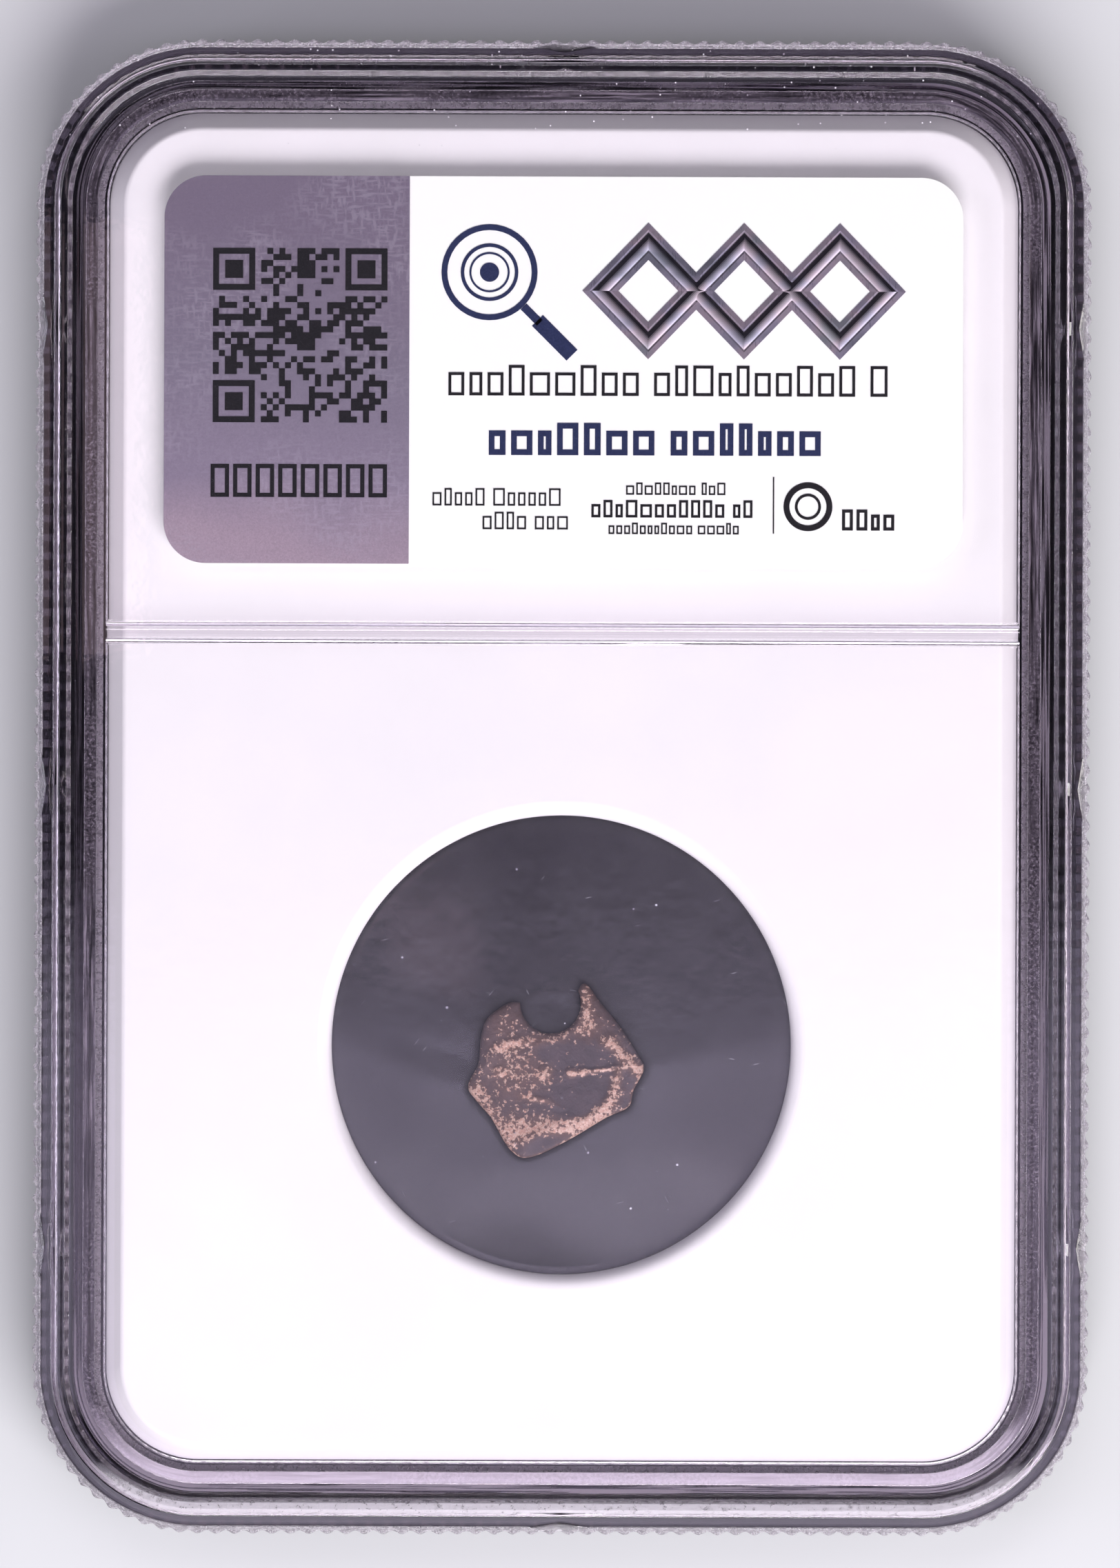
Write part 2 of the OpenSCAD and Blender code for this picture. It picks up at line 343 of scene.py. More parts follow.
class Nodes:
    """A short way to write the nodes of a material or of the world."""

    def __init__(self, name, world=False):
        self.owner = (bpy.data.worlds if world else bpy.data.materials).new(name)
        self.owner.use_nodes = True
        self.tree = self.owner.node_tree
        self.tree.nodes.clear()
        self.out = self.tree.nodes.new("ShaderNodeOutputWorld" if world else "ShaderNodeOutputMaterial")

    def add(self, kind, settings=None, **inputs):
        node = self.tree.nodes.new("ShaderNode" + kind)
        for key, value in (settings or {}).items():
            setattr(node, key, value)
        for key, value in inputs.items():
            self.set(node, key.replace("_", " "), value)
        return node

    def set(self, node, key, value):
        if key in ("a", "b", "c"):
            socket = node.inputs["abc".index(key)]
        else:
            socket = next(s for s in node.inputs if s.name.lower() == key.lower() and s.enabled)
        if isinstance(value, bpy.types.NodeSocket):
            self.tree.links.new(value, socket)
        elif isinstance(value, bpy.types.Node):
            self.tree.links.new(next(o for o in value.outputs if o.enabled), socket)
        else:
            socket.default_value = value

    def place(self, scale=(1, 1, 1)):
        """The piece's own coordinates, in millimetres times scale."""
        where = self.add("TexCoord")
        stretch = self.add("Mapping", Scale=tuple(s / MM for s in scale))
        self.tree.links.new(where.outputs["Object"], stretch.inputs["Vector"])
        return stretch.outputs["Vector"]

    def value(self, name, output="Fac"):
        """What point_values gave the piece's points under this name."""
        return self.add("Attribute", {"attribute_name": name}).outputs[output]

    def split(self, vector):
        return self.add("SeparateXYZ", a=vector).outputs

    def noise(self, where, scale, detail=3.0, rough=0.5):
        return self.add("TexNoise", Vector=where, Scale=scale, Detail=detail, Roughness=rough).outputs["Fac"]

    def ramp(self, value, *stops):
        """A colour ramp with (position, colour) stops. A plain number is a grey."""
        node = self.add("ValToRGB", a=value)
        ramp = node.color_ramp
        while len(ramp.elements) < len(stops):
            ramp.elements.new(0.5)
        for element, (at, colour) in zip(ramp.elements, stops):
            element.position = at
            element.color = (*colour, 1) if isinstance(colour, tuple) else (colour, colour, colour, 1)
        return node.outputs["Color"]

    def math(self, operation, a, b=0.0, clamp=False):
        return self.add("Math", {"operation": operation, "use_clamp": clamp}, a=a, b=b).outputs[0]

    def mix(self, factor, a, b, blend="MIX"):
        node = self.add("Mix", {"data_type": "RGBA", "blend_type": blend})
        for socket, value in ((node.inputs[0], factor), (node.inputs[6], a), (node.inputs[7], b)):
            if isinstance(value, bpy.types.NodeSocket):
                self.tree.links.new(value, socket)
            elif isinstance(value, (int, float)):
                socket.default_value = value
            else:
                socket.default_value = (*value, 1)
        return node.outputs[2]

    def bump(self, height, strength, distance_mm, normal=None):
        node = self.add("Bump", Strength=strength, Distance=distance_mm * MM, Height=height)
        if normal is not None:
            self.set(node, "Normal", normal)
        return node.outputs["Normal"]

    def surface(self, shader):
        self.tree.links.new(shader.outputs[0] if isinstance(shader, bpy.types.Node) else shader,
                            self.out.inputs["Surface"])
        return self.owner


def lets_lamps_through(n, shader, tint):
    """Lamps shine through the clear piece without caustics."""
    path = n.add("LightPath")
    clear = n.add("BsdfTransparent", Color=tint)
    return n.add("MixShader", a=path.outputs["Is Shadow Ray"], b=shader, c=clear)


def clear_plastic():
    """Clear polystyrene, faintly smoky in its depth, with fine scuffs.

    Point values roughen the serrated edge into frost, draw fine lines along the joint, and darken the lower
    shell's rim.
    The lower end's extra frost and the lines' extra whiteness on the lit sides are painted light; the lower
    shell's dark rim is painted shade, in what is seen through it and in the light it lets through. A little
    dust lies near the window's top edge.
    """
    n = Nodes("clear_polystyrene")
    where = n.place()
    frost_and_painted_light = n.value("frost_and_painted_light")
    scuff = n.noise(where, 2.2, 6.0, 0.65)
    mottle = n.ramp(n.noise(where, 3.1, 6.0, 0.75), (0.36, 0.35), (0.58, 1.0))
    frosting = n.math("MULTIPLY", frost_and_painted_light, mottle)
    amount, depth, along = n.split(n.value("land", "Vector"))
    across = n.add("CombineXYZ", a=n.math("MULTIPLY", depth, 9.0), b=n.math("MULTIPLY", along, 0.12))
    lines = n.ramp(n.noise(across, 1.0, 2.0), (0.44, 0.04), (0.56, 1.0))
    frosting = n.math("ADD", frosting, n.math("MULTIPLY", amount, lines), clamp=True)
    top = n.ramp(n.math("DIVIDE", n.split(where)[1], SLAB_L), (0.425, 0.0), (0.44, 1.0))
    dust = n.math("MULTIPLY", specks(n, 2.4, 0.22, 0.13), top)
    frosting = n.math("MAXIMUM", frosting, n.math("MULTIPLY", dust, 1.6))
    rough = n.math("ADD", n.ramp(scuff, (0.45, 0.0), (0.75, 0.07)), n.math("MULTIPLY", frosting, 0.45))
    waves = n.bump(n.noise(where, 0.9, 2.0), 0.04, 0.05)
    grit = n.bump(n.math("MULTIPLY", frost_and_painted_light, n.noise(where, 7.0, 5.0, 0.8)), 0.8, 0.10, waves)
    # Painted shade: where the value is 1, the lower shell's rim is tinted dark, standing for shade beneath the
    # slab.
    rim_painted_shade = n.value("rim_painted_shade")
    rim_shade_tint = n.mix(rim_painted_shade, (1.0, 1.0, 1.0), (0.16, 0.15, 0.175))
    body = n.add("BsdfPrincipled", Base_Color=rim_shade_tint, Roughness=rough, IOR=1.58, Normal=grit)
    body.inputs["Transmission Weight"].default_value = 1.0
    white = n.add("BsdfDiffuse", Color=(0.62, 0.58, 0.64, 1), Normal=grit)
    seen = n.add("MixShader", a=n.math("MULTIPLY", frosting, 0.42), b=body, c=white)
    inside = n.add("VolumeAbsorption", Color=(0.885, 0.868, 0.89, 1), Density=1000.0)
    n.tree.links.new(inside.outputs[0], n.out.inputs["Volume"])
    # The same value lets far less lamp light through that rim: a painted shadow on the floor under it.
    return n.surface(lets_lamps_through(n, seen, n.mix(rim_painted_shade, (0.94, 0.94, 0.94), (0.16, 0.15, 0.17))))


def weld_haze():
    """The melted seam: smeared along the rim in long streaks, with granular patches and fine bubbles, painted
    milkier and whiter towards the lower end as painted light where the key lamp falls.
    """
    n = Nodes("weld_haze")
    flow = n.value("flow", "Vector")
    lower_end_painted_light = n.split(flow)[2]
    where = n.place()
    long_streaks = n.add("Mapping", Scale=(0.22, 5.5, 1.0), Vector=flow)
    streak = n.noise(long_streaks.outputs["Vector"], 1.0, 4.0, 0.6)
    grain = n.noise(where, 5.5, 5.0, 0.75)
    patch = n.ramp(n.noise(where, 0.10, 2.0), (0.42, 0.0), (0.58, 1.0))
    texture = n.mix(patch, streak, grain)
    milk = n.ramp(texture, (0.40, 0.02), (0.52, 0.16), (0.66, 0.62))
    milk = n.math("ADD", milk, n.math("MULTIPLY", lower_end_painted_light, 0.75), clamp=True)
    white = n.mix(lower_end_painted_light, (0.42, 0.385, 0.43), (0.80, 0.76, 0.82))
    body = n.add("BsdfPrincipled", Base_Color=white, Roughness=0.4, IOR=1.5)
    see = n.add("BsdfTransparent", Color=(0.55, 0.53, 0.57, 1))
    return n.surface(n.add("MixShader", a=milk, b=see, c=body))


def specks(n, per_mm, share, radius, stretch=(1, 1, 1), turn=0.0):
    """Scattered marks: 1 inside a mark and 0 elsewhere. Stretching and turning them makes short scratches."""
    where = n.add("TexCoord")
    spin = n.add("Mapping", Rotation=(0, 0, turn))
    n.tree.links.new(where.outputs["Object"], spin.inputs["Vector"])
    grow = n.add("Mapping", Scale=tuple(k * per_mm / MM for k in stretch), Vector=spin.outputs["Vector"])
    cells = n.add("TexVoronoi", Vector=grow.outputs["Vector"], Scale=1.0)
    mark = n.ramp(cells.outputs["Distance"], (radius * 0.6, 1.0), (radius, 0.0))
    chosen = n.math("LESS_THAN", n.add("SeparateColor", a=cells.outputs["Color"]).outputs[0], share)
    return n.math("MULTIPLY", mark, chosen)


def white_moulding():
    """The insert's satin white plastic, with a little dust."""
    n = Nodes("white_moulding")
    where = n.place()
    grain = n.noise(where, 6.0, 4.0, 0.6)
    colour = n.ramp(n.noise(where, 0.12, 3.0), (0.35, (0.83, 0.825, 0.825)), (0.65, (0.86, 0.85, 0.855)))
    dust = n.math("MULTIPLY", specks(n, 0.9, 0.08, 0.05), 0.6)
    satin = n.ramp(grain, (0.3, 0.36), (0.7, 0.48))
    body = n.add("BsdfPrincipled", Base_Color=n.mix(dust, colour, (0.97, 0.96, 0.96)), Roughness=satin,
                 IOR=1.5, Normal=n.bump(grain, 0.06, 0.03))
    return n.surface(body)


CLEAR_TINT = (0.885, 0.875, 0.90)
# The lower film's dark tint is painted shade: it darkens the floor seen through the aperture.
DISC_SHADE_TINT = (0.155, 0.149, 0.174)


def stretched_film(name, tint):
    """Thin film with a tint, short scratches and specks.

    The points' "touch" runs from 0 beside the coin through 0.5 at its edge to 1 well inside. Where the film
    lies on the coin it shines less, and it keeps only a slight tint.
    """
    n = Nodes(name)
    marks = specks(n, 1.3, 0.22, 0.055)
    for turn, share in ((0.15, 0.035), (1.1, 0.02), (2.2, 0.02), (2.9, 0.03)):
        marks = n.math("MAXIMUM", marks, specks(n, 1.0, share, 0.11, (0.42, 4.5, 1.0), turn))
    cloud = n.noise(n.place(), 0.16, 2.0)
    dust = specks(n, 0.75, 0.20, 0.065)
    marks = n.math("MAXIMUM", n.math("MULTIPLY", marks, 0.30), dust)
    haze = n.math("ADD", marks, n.ramp(cloud, (0.3, 0.015), (0.7, 0.030)), clamp=True)
    touch = n.value("touch")
    see = n.add("BsdfTransparent", Color=n.mix(n.ramp(touch, (0.5, 0.0), (1.0, 1.0)), tint, CLEAR_TINT))
    milk = n.add("BsdfDiffuse", Color=(0.60, 0.59, 0.66, 1))
    shine = n.add("BsdfAnisotropic", Color=(1, 1, 1, 1), Roughness=0.10)
    edge_on = n.add("LayerWeight", Blend=0.5).outputs["Facing"]
    gloss = n.math("ADD", n.math("MULTIPLY", n.math("POWER", edge_on, 5.0), 0.96), 0.035)
    free = n.ramp(touch, (0.0, 1.0), (0.5, 0.2))
    seen = n.add("MixShader", a=n.math("MULTIPLY", haze, free), b=see, c=milk)
    return n.surface(n.add("MixShader", a=n.math("MULTIPLY", gloss, free), b=seen, c=shine))


def worn_bronze():
    """Old bronze: dark patina in the pits, brown where smooth, and bare coppery grains where it is rubbed. The
    wear values also carry a painted highlight along the coin's lower edge.
    """
    n = Nodes("worn_bronze")
    where = n.place()
    wear = n.value("wear")
    grain = n.noise(where, 4.0, 4.0, 0.65)
    spread = n.math("ADD", wear, n.math("MULTIPLY", n.math("SUBTRACT", grain, 0.5), 2.9))
    cloud = n.noise(where, 0.9, 3.0)
    up = n.math("DIVIDE", n.math("ADD", n.split(where)[1], 15.2), 3.4, clamp=True)
    grey = n.ramp(cloud, (0.35, (0.056, 0.042, 0.046)), (0.65, (0.096, 0.072, 0.076)))
    patina = n.mix(up, grey, (0.066, 0.034, 0.026))
    brown = n.mix(n.ramp(wear, (0.15, 0.0), (0.60, 1.0)), patina, (0.165, 0.092, 0.064))
    bare = n.ramp(spread, (0.50, 0.0), (0.66, 1.0))
    copper = n.ramp(n.noise(where, 9.0, 3.0), (0.35, (0.62, 0.345, 0.235)), (0.65, (0.87, 0.66, 0.49)))
    body = n.add("BsdfPrincipled", Base_Color=n.mix(bare, brown, copper),
                 Roughness=n.ramp(bare, (0.0, 0.60), (1.0, 0.38)), Metallic=0.05,
                 Normal=n.bump(spread, 0.45, 0.05))
    return n.surface(body)


def coated_card():
    """The label's coated white card."""
    n = Nodes("coated_card")
    where = n.place()
    fibre = n.noise(where, 9.0, 4.0, 0.6)
    colour = n.ramp(n.noise(where, 0.1, 2.0), (0.3, (0.92, 0.96, 0.90)), (0.7, (0.94, 0.975, 0.915)))
    return n.surface(n.add("BsdfPrincipled", Base_Color=colour, Roughness=0.42, IOR=1.48,
                           Normal=n.bump(fibre, 0.05, 0.02)))


def printed_ink(name, colour):
    """Matt ink on the card, with the slight mottle of a print."""
    n = Nodes(name)
    mottle = n.noise(n.place(), 12.0, 3.0)
    lighter = tuple(c * 1.5 + 0.004 for c in colour)
    shade = n.ramp(mottle, (0.35, colour), (0.7, lighter))
    body = n.add("BsdfPrincipled", Base_Color=shade, Roughness=0.8)
    body.inputs["Specular IOR Level"].default_value = 0.15
    return n.surface(body)


def security_foil():
    """Grey-violet foil with a sandy grain, faint rows of dashes and a slow change of colour, with a painted
    sheen that makes it lighter and pinker towards the bottom.
    """
    n = Nodes("security_foil")
    where = n.place()
    rows = n.noise(n.place((1.1, 5.5, 1.0)), 1.0, 2.0)
    columns = n.noise(n.place((4.2, 1.3, 1.0)), 1.0, 2.0)
    area = n.ramp(n.noise(where, 0.16, 1.0), (0.42, 0.0), (0.60, 1.0))
    dashes = n.ramp(n.math("MAXIMUM", rows, columns), (0.50, 0.0), (0.64, 1.0))
    weave = n.math("MULTIPLY", dashes, area)
    sand = n.noise(where, 11.0, 5.0, 0.8)
    # The foil's own colour drift together with a painted sheen: lighter and pinker towards the bottom, where
    # the key lamp is.
    up = n.math("DIVIDE", n.split(where)[1], SLAB_L)
    colour_and_sheen_drift = n.math("ADD", up, n.math("MULTIPLY", n.math("SUBTRACT", n.noise(where, 0.10, 1.0), 0.5), 0.10))
    hue_and_painted_sheen = n.ramp(colour_and_sheen_drift, (0.155, (0.345, 0.270, 0.325)), (0.20, (0.225, 0.190, 0.255)),
                 (0.29, (0.175, 0.155, 0.205)), (0.38, (0.155, 0.127, 0.175)))
    dusty = n.mix(n.ramp(sand, (0.35, 0.35), (0.65, 0.0)), hue_and_painted_sheen, (0.07, 0.062, 0.085))
    shade = n.mix(n.math("MULTIPLY", weave, 0.30), dusty, (0.34, 0.31, 0.37))
    return n.surface(n.add("BsdfPrincipled", Base_Color=shade, Metallic=0.25,
                           Roughness=n.ramp(sand, (0.3, 0.34), (0.7, 0.50)), Normal=n.bump(sand, 0.12, 0.02)))


def stamped_foil(name, dark, light, rough, metal):
    """Foil with painted light and shade: a shade for each facet by how it faces the lamp below, a slow rainbow
    tint and a fine grain.
    """
    n = Nodes(name)
    shade = n.value("shade")
    fine = n.noise(n.place((9.0, 1.2, 1.0)), 1.0, 3.0, 0.7)
    slow = n.noise(n.place((0.30, 0.42, 1.0)), 1.0, 2.0)
    tint = n.ramp(slow, (0.34, (0.42, 0.46, 0.52)), (0.45, (0.80, 0.80, 0.92)),
                  (0.55, (1.0, 0.88, 0.92)), (0.68, (0.62, 0.70, 0.70)))
    tinted = n.mix(1.0, n.ramp(shade, (0.0, dark), (1.0, light)), tint, "MULTIPLY")
    uneven = n.ramp(fine, (0.3, rough * 0.8), (0.7, rough * 1.3))
    return n.surface(n.add("BsdfPrincipled", Base_Color=tinted, Metallic=metal, Roughness=uneven,
                           Normal=n.bump(fine, 0.05, 0.01)))


CLEAR = clear_plastic()
WELD = weld_haze()
WHITE = white_moulding()
FILM = stretched_film("film_clear", CLEAR_TINT)
FRONT_FILM = stretched_film("film_painted_shade", DISC_SHADE_TINT)
BRONZE = worn_bronze()
CARD = coated_card()
INK = printed_ink("ink_black", (0.005, 0.0045, 0.006))
NAVY = printed_ink("ink_navy", (0.014, 0.020, 0.060))
STRIP = security_foil()
# The foils run from dark to light by the painted facet shade.
BORDER = stamped_foil("foil_border", (0.012, 0.010, 0.014), (0.44, 0.41, 0.46), 0.30, 0.35)
BEVEL = stamped_foil("foil_bevel", (0.006, 0.005, 0.008), (0.95, 0.93, 0.97), 0.20, 0.10)


# ---------------------------------------------------------------- the clear shells and their weld

PART_GAP = 0.006
# Corners of the weld's groove and of its tongue: depth from the edge, height, radius and 0 for a straight run
REAR_JOINT = [(3.55, PART_GAP, 0.02, 0), (3.55, 0.6, 0.03, 0),
              (2.85, 0.6, 0.03, 0), (2.85, PART_GAP, 0.02, 0)]
FRONT_JOINT = [(3.45, PART_GAP, 0.02, 0), (3.45, -0.39, 0.05, 0),
               (2.95, -0.39, 0.05, 0), (2.95, PART_GAP, 0.02, 0)]
# Depths of the ridge's outer foot, shoulder, top and inner foot
REAR_RIDGE = (1.1, 1.34, 1.5, 1.9, 2.12)
FRONT_RIDGE = (2.2, 2.35, 2.5, 3.0, 3.2)
CAP_MARGIN = 0.7
# Depths between which the parting face is hazed by weld flash, and between which it has fine lines
FLASH_D = (3.5, 3.9)
LAND_D = (2.26, 2.87)


def shell_profile(joint, ridge):
    """Half a section of one clear shell, from the cavity's ceiling round the rim to the window."""
    return round_corners([
        (RIM_W + CAP_MARGIN, WINDOW_IN, 0, 0), (RIM_W, WINDOW_IN, 0.18, 0), (RIM_W, PART_GAP, 0.04, 0),
        (FLASH_D[1] + 0.02, PART_GAP, 0, 0), (FLASH_D[1] - 0.02, PART_GAP, 0, 0), *joint,
        (LAND_D[0] + 0.04, PART_GAP, 0, 0), (LAND_D[0] - 0.04, PART_GAP, 0, 0),
        (0, PART_GAP, 0.04, 1), (0, SERRATION_TOP, 0.14, 1),
        (WALL_D, SERRATION_TOP, 0.02, 0), (WALL_D, FLANGE_Z - 0.3, 0.05, 0),
        (EDGE_CHAMFER_D, FLANGE_Z, 0.05, 0), (EDGE_CHAMFER_D + 0.1, FLANGE_Z, 0, 0),
        (ridge[0], FLANGE_Z, 0.10, 0), (ridge[1], RIDGE_Z - 0.2, 0.10, 0), (ridge[2], RIDGE_Z, 0.10, 0),
        (ridge[3], RIDGE_Z, 0.08, 0), (ridge[4], WINDOW_Z, 0.07, 0), (ridge[4] + CAP_MARGIN, WINDOW_Z, 0, 0),
    ])


def rib_bar():
    """The half-round rib under the window, with small fillets where it meets it."""
    r, low = RIB_W / 2, RIB_LOW
    fillet = [(-r - 0.12, WINDOW_IN + 0.2), (-r - 0.12, WINDOW_IN), (-r - 0.03, WINDOW_IN - 0.03),
              (-r, WINDOW_IN - 0.12)]
    bow = [(-r * math.cos(a), low + r - r * math.sin(a)) for a in np.linspace(0, math.pi, 19)]
    section = [*fillet, *bow, *[(-y, z) for y, z in reversed(fillet)]]
    reach = SLAB_W / 2 - RIM_W + 0.4
    verts = [(s * reach, RIB_Y + y, z) for s in (-1, 1) for y, z in section]
    return right_way_out(new_object("rib_bar", verts, stack_faces(2, len(section))))


def notch_cutters():
    """The wedges that cut the shallow V notches over the flange's edge."""
    reach = 1.6
    rise = (NOTCH_D - EDGE_CHAMFER_D) * math.sin(NOTCH_SLOPE) * reach
    wide = NOTCH_LEN / 2 * reach
    section = [(0, 0), (rise, wide), (2, wide), (2, -wide), (rise, -wide)]
    spots = [((s * SLAB_W / 2, y), (s, 0)) for s in (-1, 1) for y in (-NOTCH_Y, 0, NOTCH_Y)]
    spots += [((0, s * SLAB_L / 2), (0, s)) for s in (-1, 1)]
    verts, faces = [], []
    for at, out in spots:
        out = np.array([*out, 0.0])
        side = np.array([-out[1], out[0], 0.0])
        down = out * math.cos(NOTCH_SLOPE) - np.array([0, 0, math.sin(NOTCH_SLOPE)])
        up = out * math.sin(NOTCH_SLOPE) + np.array([0, 0, math.cos(NOTCH_SLOPE)])
        apex = np.array([*at, FLANGE_Z]) - out * NOTCH_D
        first = len(verts)
        for run in (-1, 3):
            verts += [tuple(apex + down * run + up * u + side * v) for u, v in section]
        faces += shifted(stack_faces(2, len(section)), first)
    return right_way_out(new_object("notch_cutters", verts, faces))


def depth_from_edge(x, y):
    """How far inside the holder's outline a point lies."""
    qx, qy = np.abs(x) - (SLAB_W / 2 - CORNER_R), np.abs(y) - (SLAB_L / 2 - CORNER_R)
    outside = np.hypot(np.maximum(qx, 0), np.maximum(qy, 0)) + np.minimum(np.maximum(qx, qy), 0)
    return CORNER_R - outside


def point_values(thing, name, values):
    """Gives each point of the mesh a number or a vector that the material reads."""
    kind, field = ("FLOAT", "value") if values.ndim == 1 else ("FLOAT_VECTOR", "vector")
    layer = thing.data.attributes.new(name, kind, "POINT")
    layer.data.foreach_set(field, values.astype(np.float32).ravel())


def mesh_points(thing):
    points = np.empty(len(thing.data.vertices) * 3, np.float32)
    thing.data.vertices.foreach_get("co", points)
    return points.reshape(-1, 3) / MM - [0, 0, MID_Z]


def clear_shell(name, joint, ridge, wear, rim_painted_shade):
    """One shell. The last argument darkens its stepped rim as painted shade, in what is seen through it and in
    the light that passes through it.
    """
    shell = plate_with_rim(name, shell_profile(joint, ridge), wear)
    cut_or_join(shell, rib_bar(), "UNION")
    cut_or_join(shell, notch_cutters(), "DIFFERENCE")
    p = mesh_points(shell)
    depth = depth_from_edge(p[:, 0], p[:, 1])
    # Painted light: the lower end, where the key lamp falls, gets extra whitening frost on the weld flash and
    # on the ridge top.
    lower_end_lit = np.clip((-p[:, 1] - 38.5) / 2.5, 0, 1)
    parting = p[:, 2] < PART_GAP * 2
    edge = 0.62 * (depth < EDGE_CHAMFER_D + 0.04) * ~parting
    flash = (0.8 + 0.6 * lower_end_lit) * (depth > FLASH_D[0]) * (depth < FLASH_D[1]) * parting
    lit_lower_ridge = 1.3 * lower_end_lit * (p[:, 2] > WINDOW_Z + 0.3)
    point_values(shell, "frost_and_painted_light", np.maximum(np.maximum(edge, flash), lit_lower_ridge))
    # Painted light: the joint's fine lines are whiter towards the right, the top and most of all the lower end,
    # where the lamps brighten the rim.
    right, top, low = np.clip([p[:, 0] / 28, p[:, 1] / 38, -p[:, 1] / 36], 0, 1) ** 4
    land = (0.15 + 0.55 * right + 0.45 * top + 1.2 * low) * (depth > LAND_D[0]) * (depth < LAND_D[1])
    land *= parting * (1 - rim_painted_shade)
    point_values(shell, "land", np.stack([land, depth, p[:, 0] + p[:, 1]], 1))
    window = (depth > ridge[4] + CAP_MARGIN / 2) * (p[:, 2] > WINDOW_Z - 0.01)
    # Painted shade on the rim, not on the window.
    point_values(shell, "rim_painted_shade", rim_painted_shade * (depth < RIM_W + 0.05) * (1 - window))
    return crisp(shell)


# Only the lower shell gets the painted rim shade.
rear_shell = clear_shell("rear_shell_moulding", REAR_JOINT, REAR_RIDGE, 1, 0.0)
front_shell = turn_over(clear_shell("front_shell_moulding", FRONT_JOINT, FRONT_RIDGE, 2, 1.0))
finish_piece(rear_shell, "rear_shell", CLEAR)
finish_piece(front_shell, "front_shell", CLEAR)


def weld_bead():
    """The seam in the groove, as a ring of uneven width with a rippled face."""
    stations = STATIONS[::4]
    base, out, run = stations[:, :2], stations[:, 2:4], stations[:, 5]
    n = len(base)
    spread = 0.025 * smooth_noise(np.c_[base, np.zeros(n)], 1.1, 5)
    low, high = 0.402, 0.575
    across = np.linspace(2.875, 3.525, 9)
    section = [(d, high, 1) for d in across] + [(d, low, 0) for d in across[::-1]]
    rows, flow = [], []
    for d, z, ripple in section:
        side = np.sign(d - 3.2) * spread
        height = z + ripple * 0.015 * smooth_noise(np.c_[base, np.full(n, d * 3)], 1.6, 6)
        rows.append(np.c_[base - out * (d + side)[:, None], height])
        # The third value is painted light: it whitens the seam towards the lower end.
        flow.append(np.c_[run, np.full(n, d), np.clip((-base[:, 1] - 36) / 6, 0, 1)])
    bead = right_way_out(new_object("weld_bead", np.concatenate(rows), ring_faces(len(section), n, True)))
    point_values(bead, "flow", np.concatenate(flow))
    return crisp(bead)


finish_piece(weld_bead(), "weld_seam", WELD)


# ---------------------------------------------------------------- the white insert

def insert_blank(name):
    """Half of the insert with its chamfered edge, before the pad and the aperture."""
    profile = round_corners([
        (INSERT_EDGE + 2.0, PART_GAP, 0, 0), (INSERT_EDGE, PART_GAP, 0.03, 0), (INSERT_EDGE, 0.15, 0.05, 0),
        (INSERT_EDGE + 1.0, INSERT_FACE, 0.45, 0), (INSERT_EDGE + 2.0, INSERT_FACE, 0, 0),
    ], steps=6)
    base, out = STATIONS[::4, :2], STATIONS[::4, 2:4]
    rings = [np.c_[base - out * d, np.full(len(base), z)] for d, z, _ in profile]
    return new_object(name, np.concatenate(rings), stack_faces(len(rings), len(base)))


def aperture_cutter():
    """The round hole with its soft lip, and the rebate for the films' flanges."""
    lip = [(APERTURE_R + LIP_R - LIP_R * math.cos(a), INSERT_FACE - LIP_R + LIP_R * math.sin(a))
           for a in np.linspace(0, math.pi / 2 * 0.985, 12)]
    profile = [(0, -1), (FILM_R + 0.1, -1), (FILM_R + 0.1, FILM_T + 0.01), (APERTURE_R, FILM_T + 0.01)]
    profile += [*lip, (APERTURE_R + LIP_R, INSERT_FACE + 1), (0, INSERT_FACE + 1)]
    return lathe("aperture_cutter", profile, APERTURE_Y, 192)


def pad_block():
    """The label's pad, a little smaller than the card, with a softened top edge."""
    inset, soft = 0.35, 0.08
    w, h, r = LABEL_W - 2 * inset, LABEL_H - 2 * inset, LABEL_R - inset
    rings = [(0, INSERT_FACE - 0.5), (0, PAD_Z - soft), (soft * 0.3, PAD_Z - soft * 0.3), (soft, PAD_Z)]
    return rounded_block("pad_block", w, h, r, rings)


def disc(name, x, y, r, low, high):
    return prism(name, circle(x, y, r, 48), low, high)


def insert_half(name, pegs):
    half = insert_blank(name)
    cut_or_join(half, pad_block(), "UNION")
    cut_or_join(half, aperture_cutter(), "DIFFERENCE")
    for x, y in PEG_SPOTS:
        if pegs:
            cut_or_join(half, disc("peg", x, y, PEG_R, -0.8, 0.2), "UNION")
        else:
            cut_or_join(half, disc("socket", -x, y, PEG_R + 0.05, -0.2, 0.85), "DIFFERENCE")
    return crisp(half, 28)


finish_piece(insert_half("rear_insert_moulding", True), "rear_insert", WHITE)
finish_piece(turn_over(insert_half("front_insert_moulding", False)), "front_insert", WHITE)


# ---------------------------------------------------------------- the coin

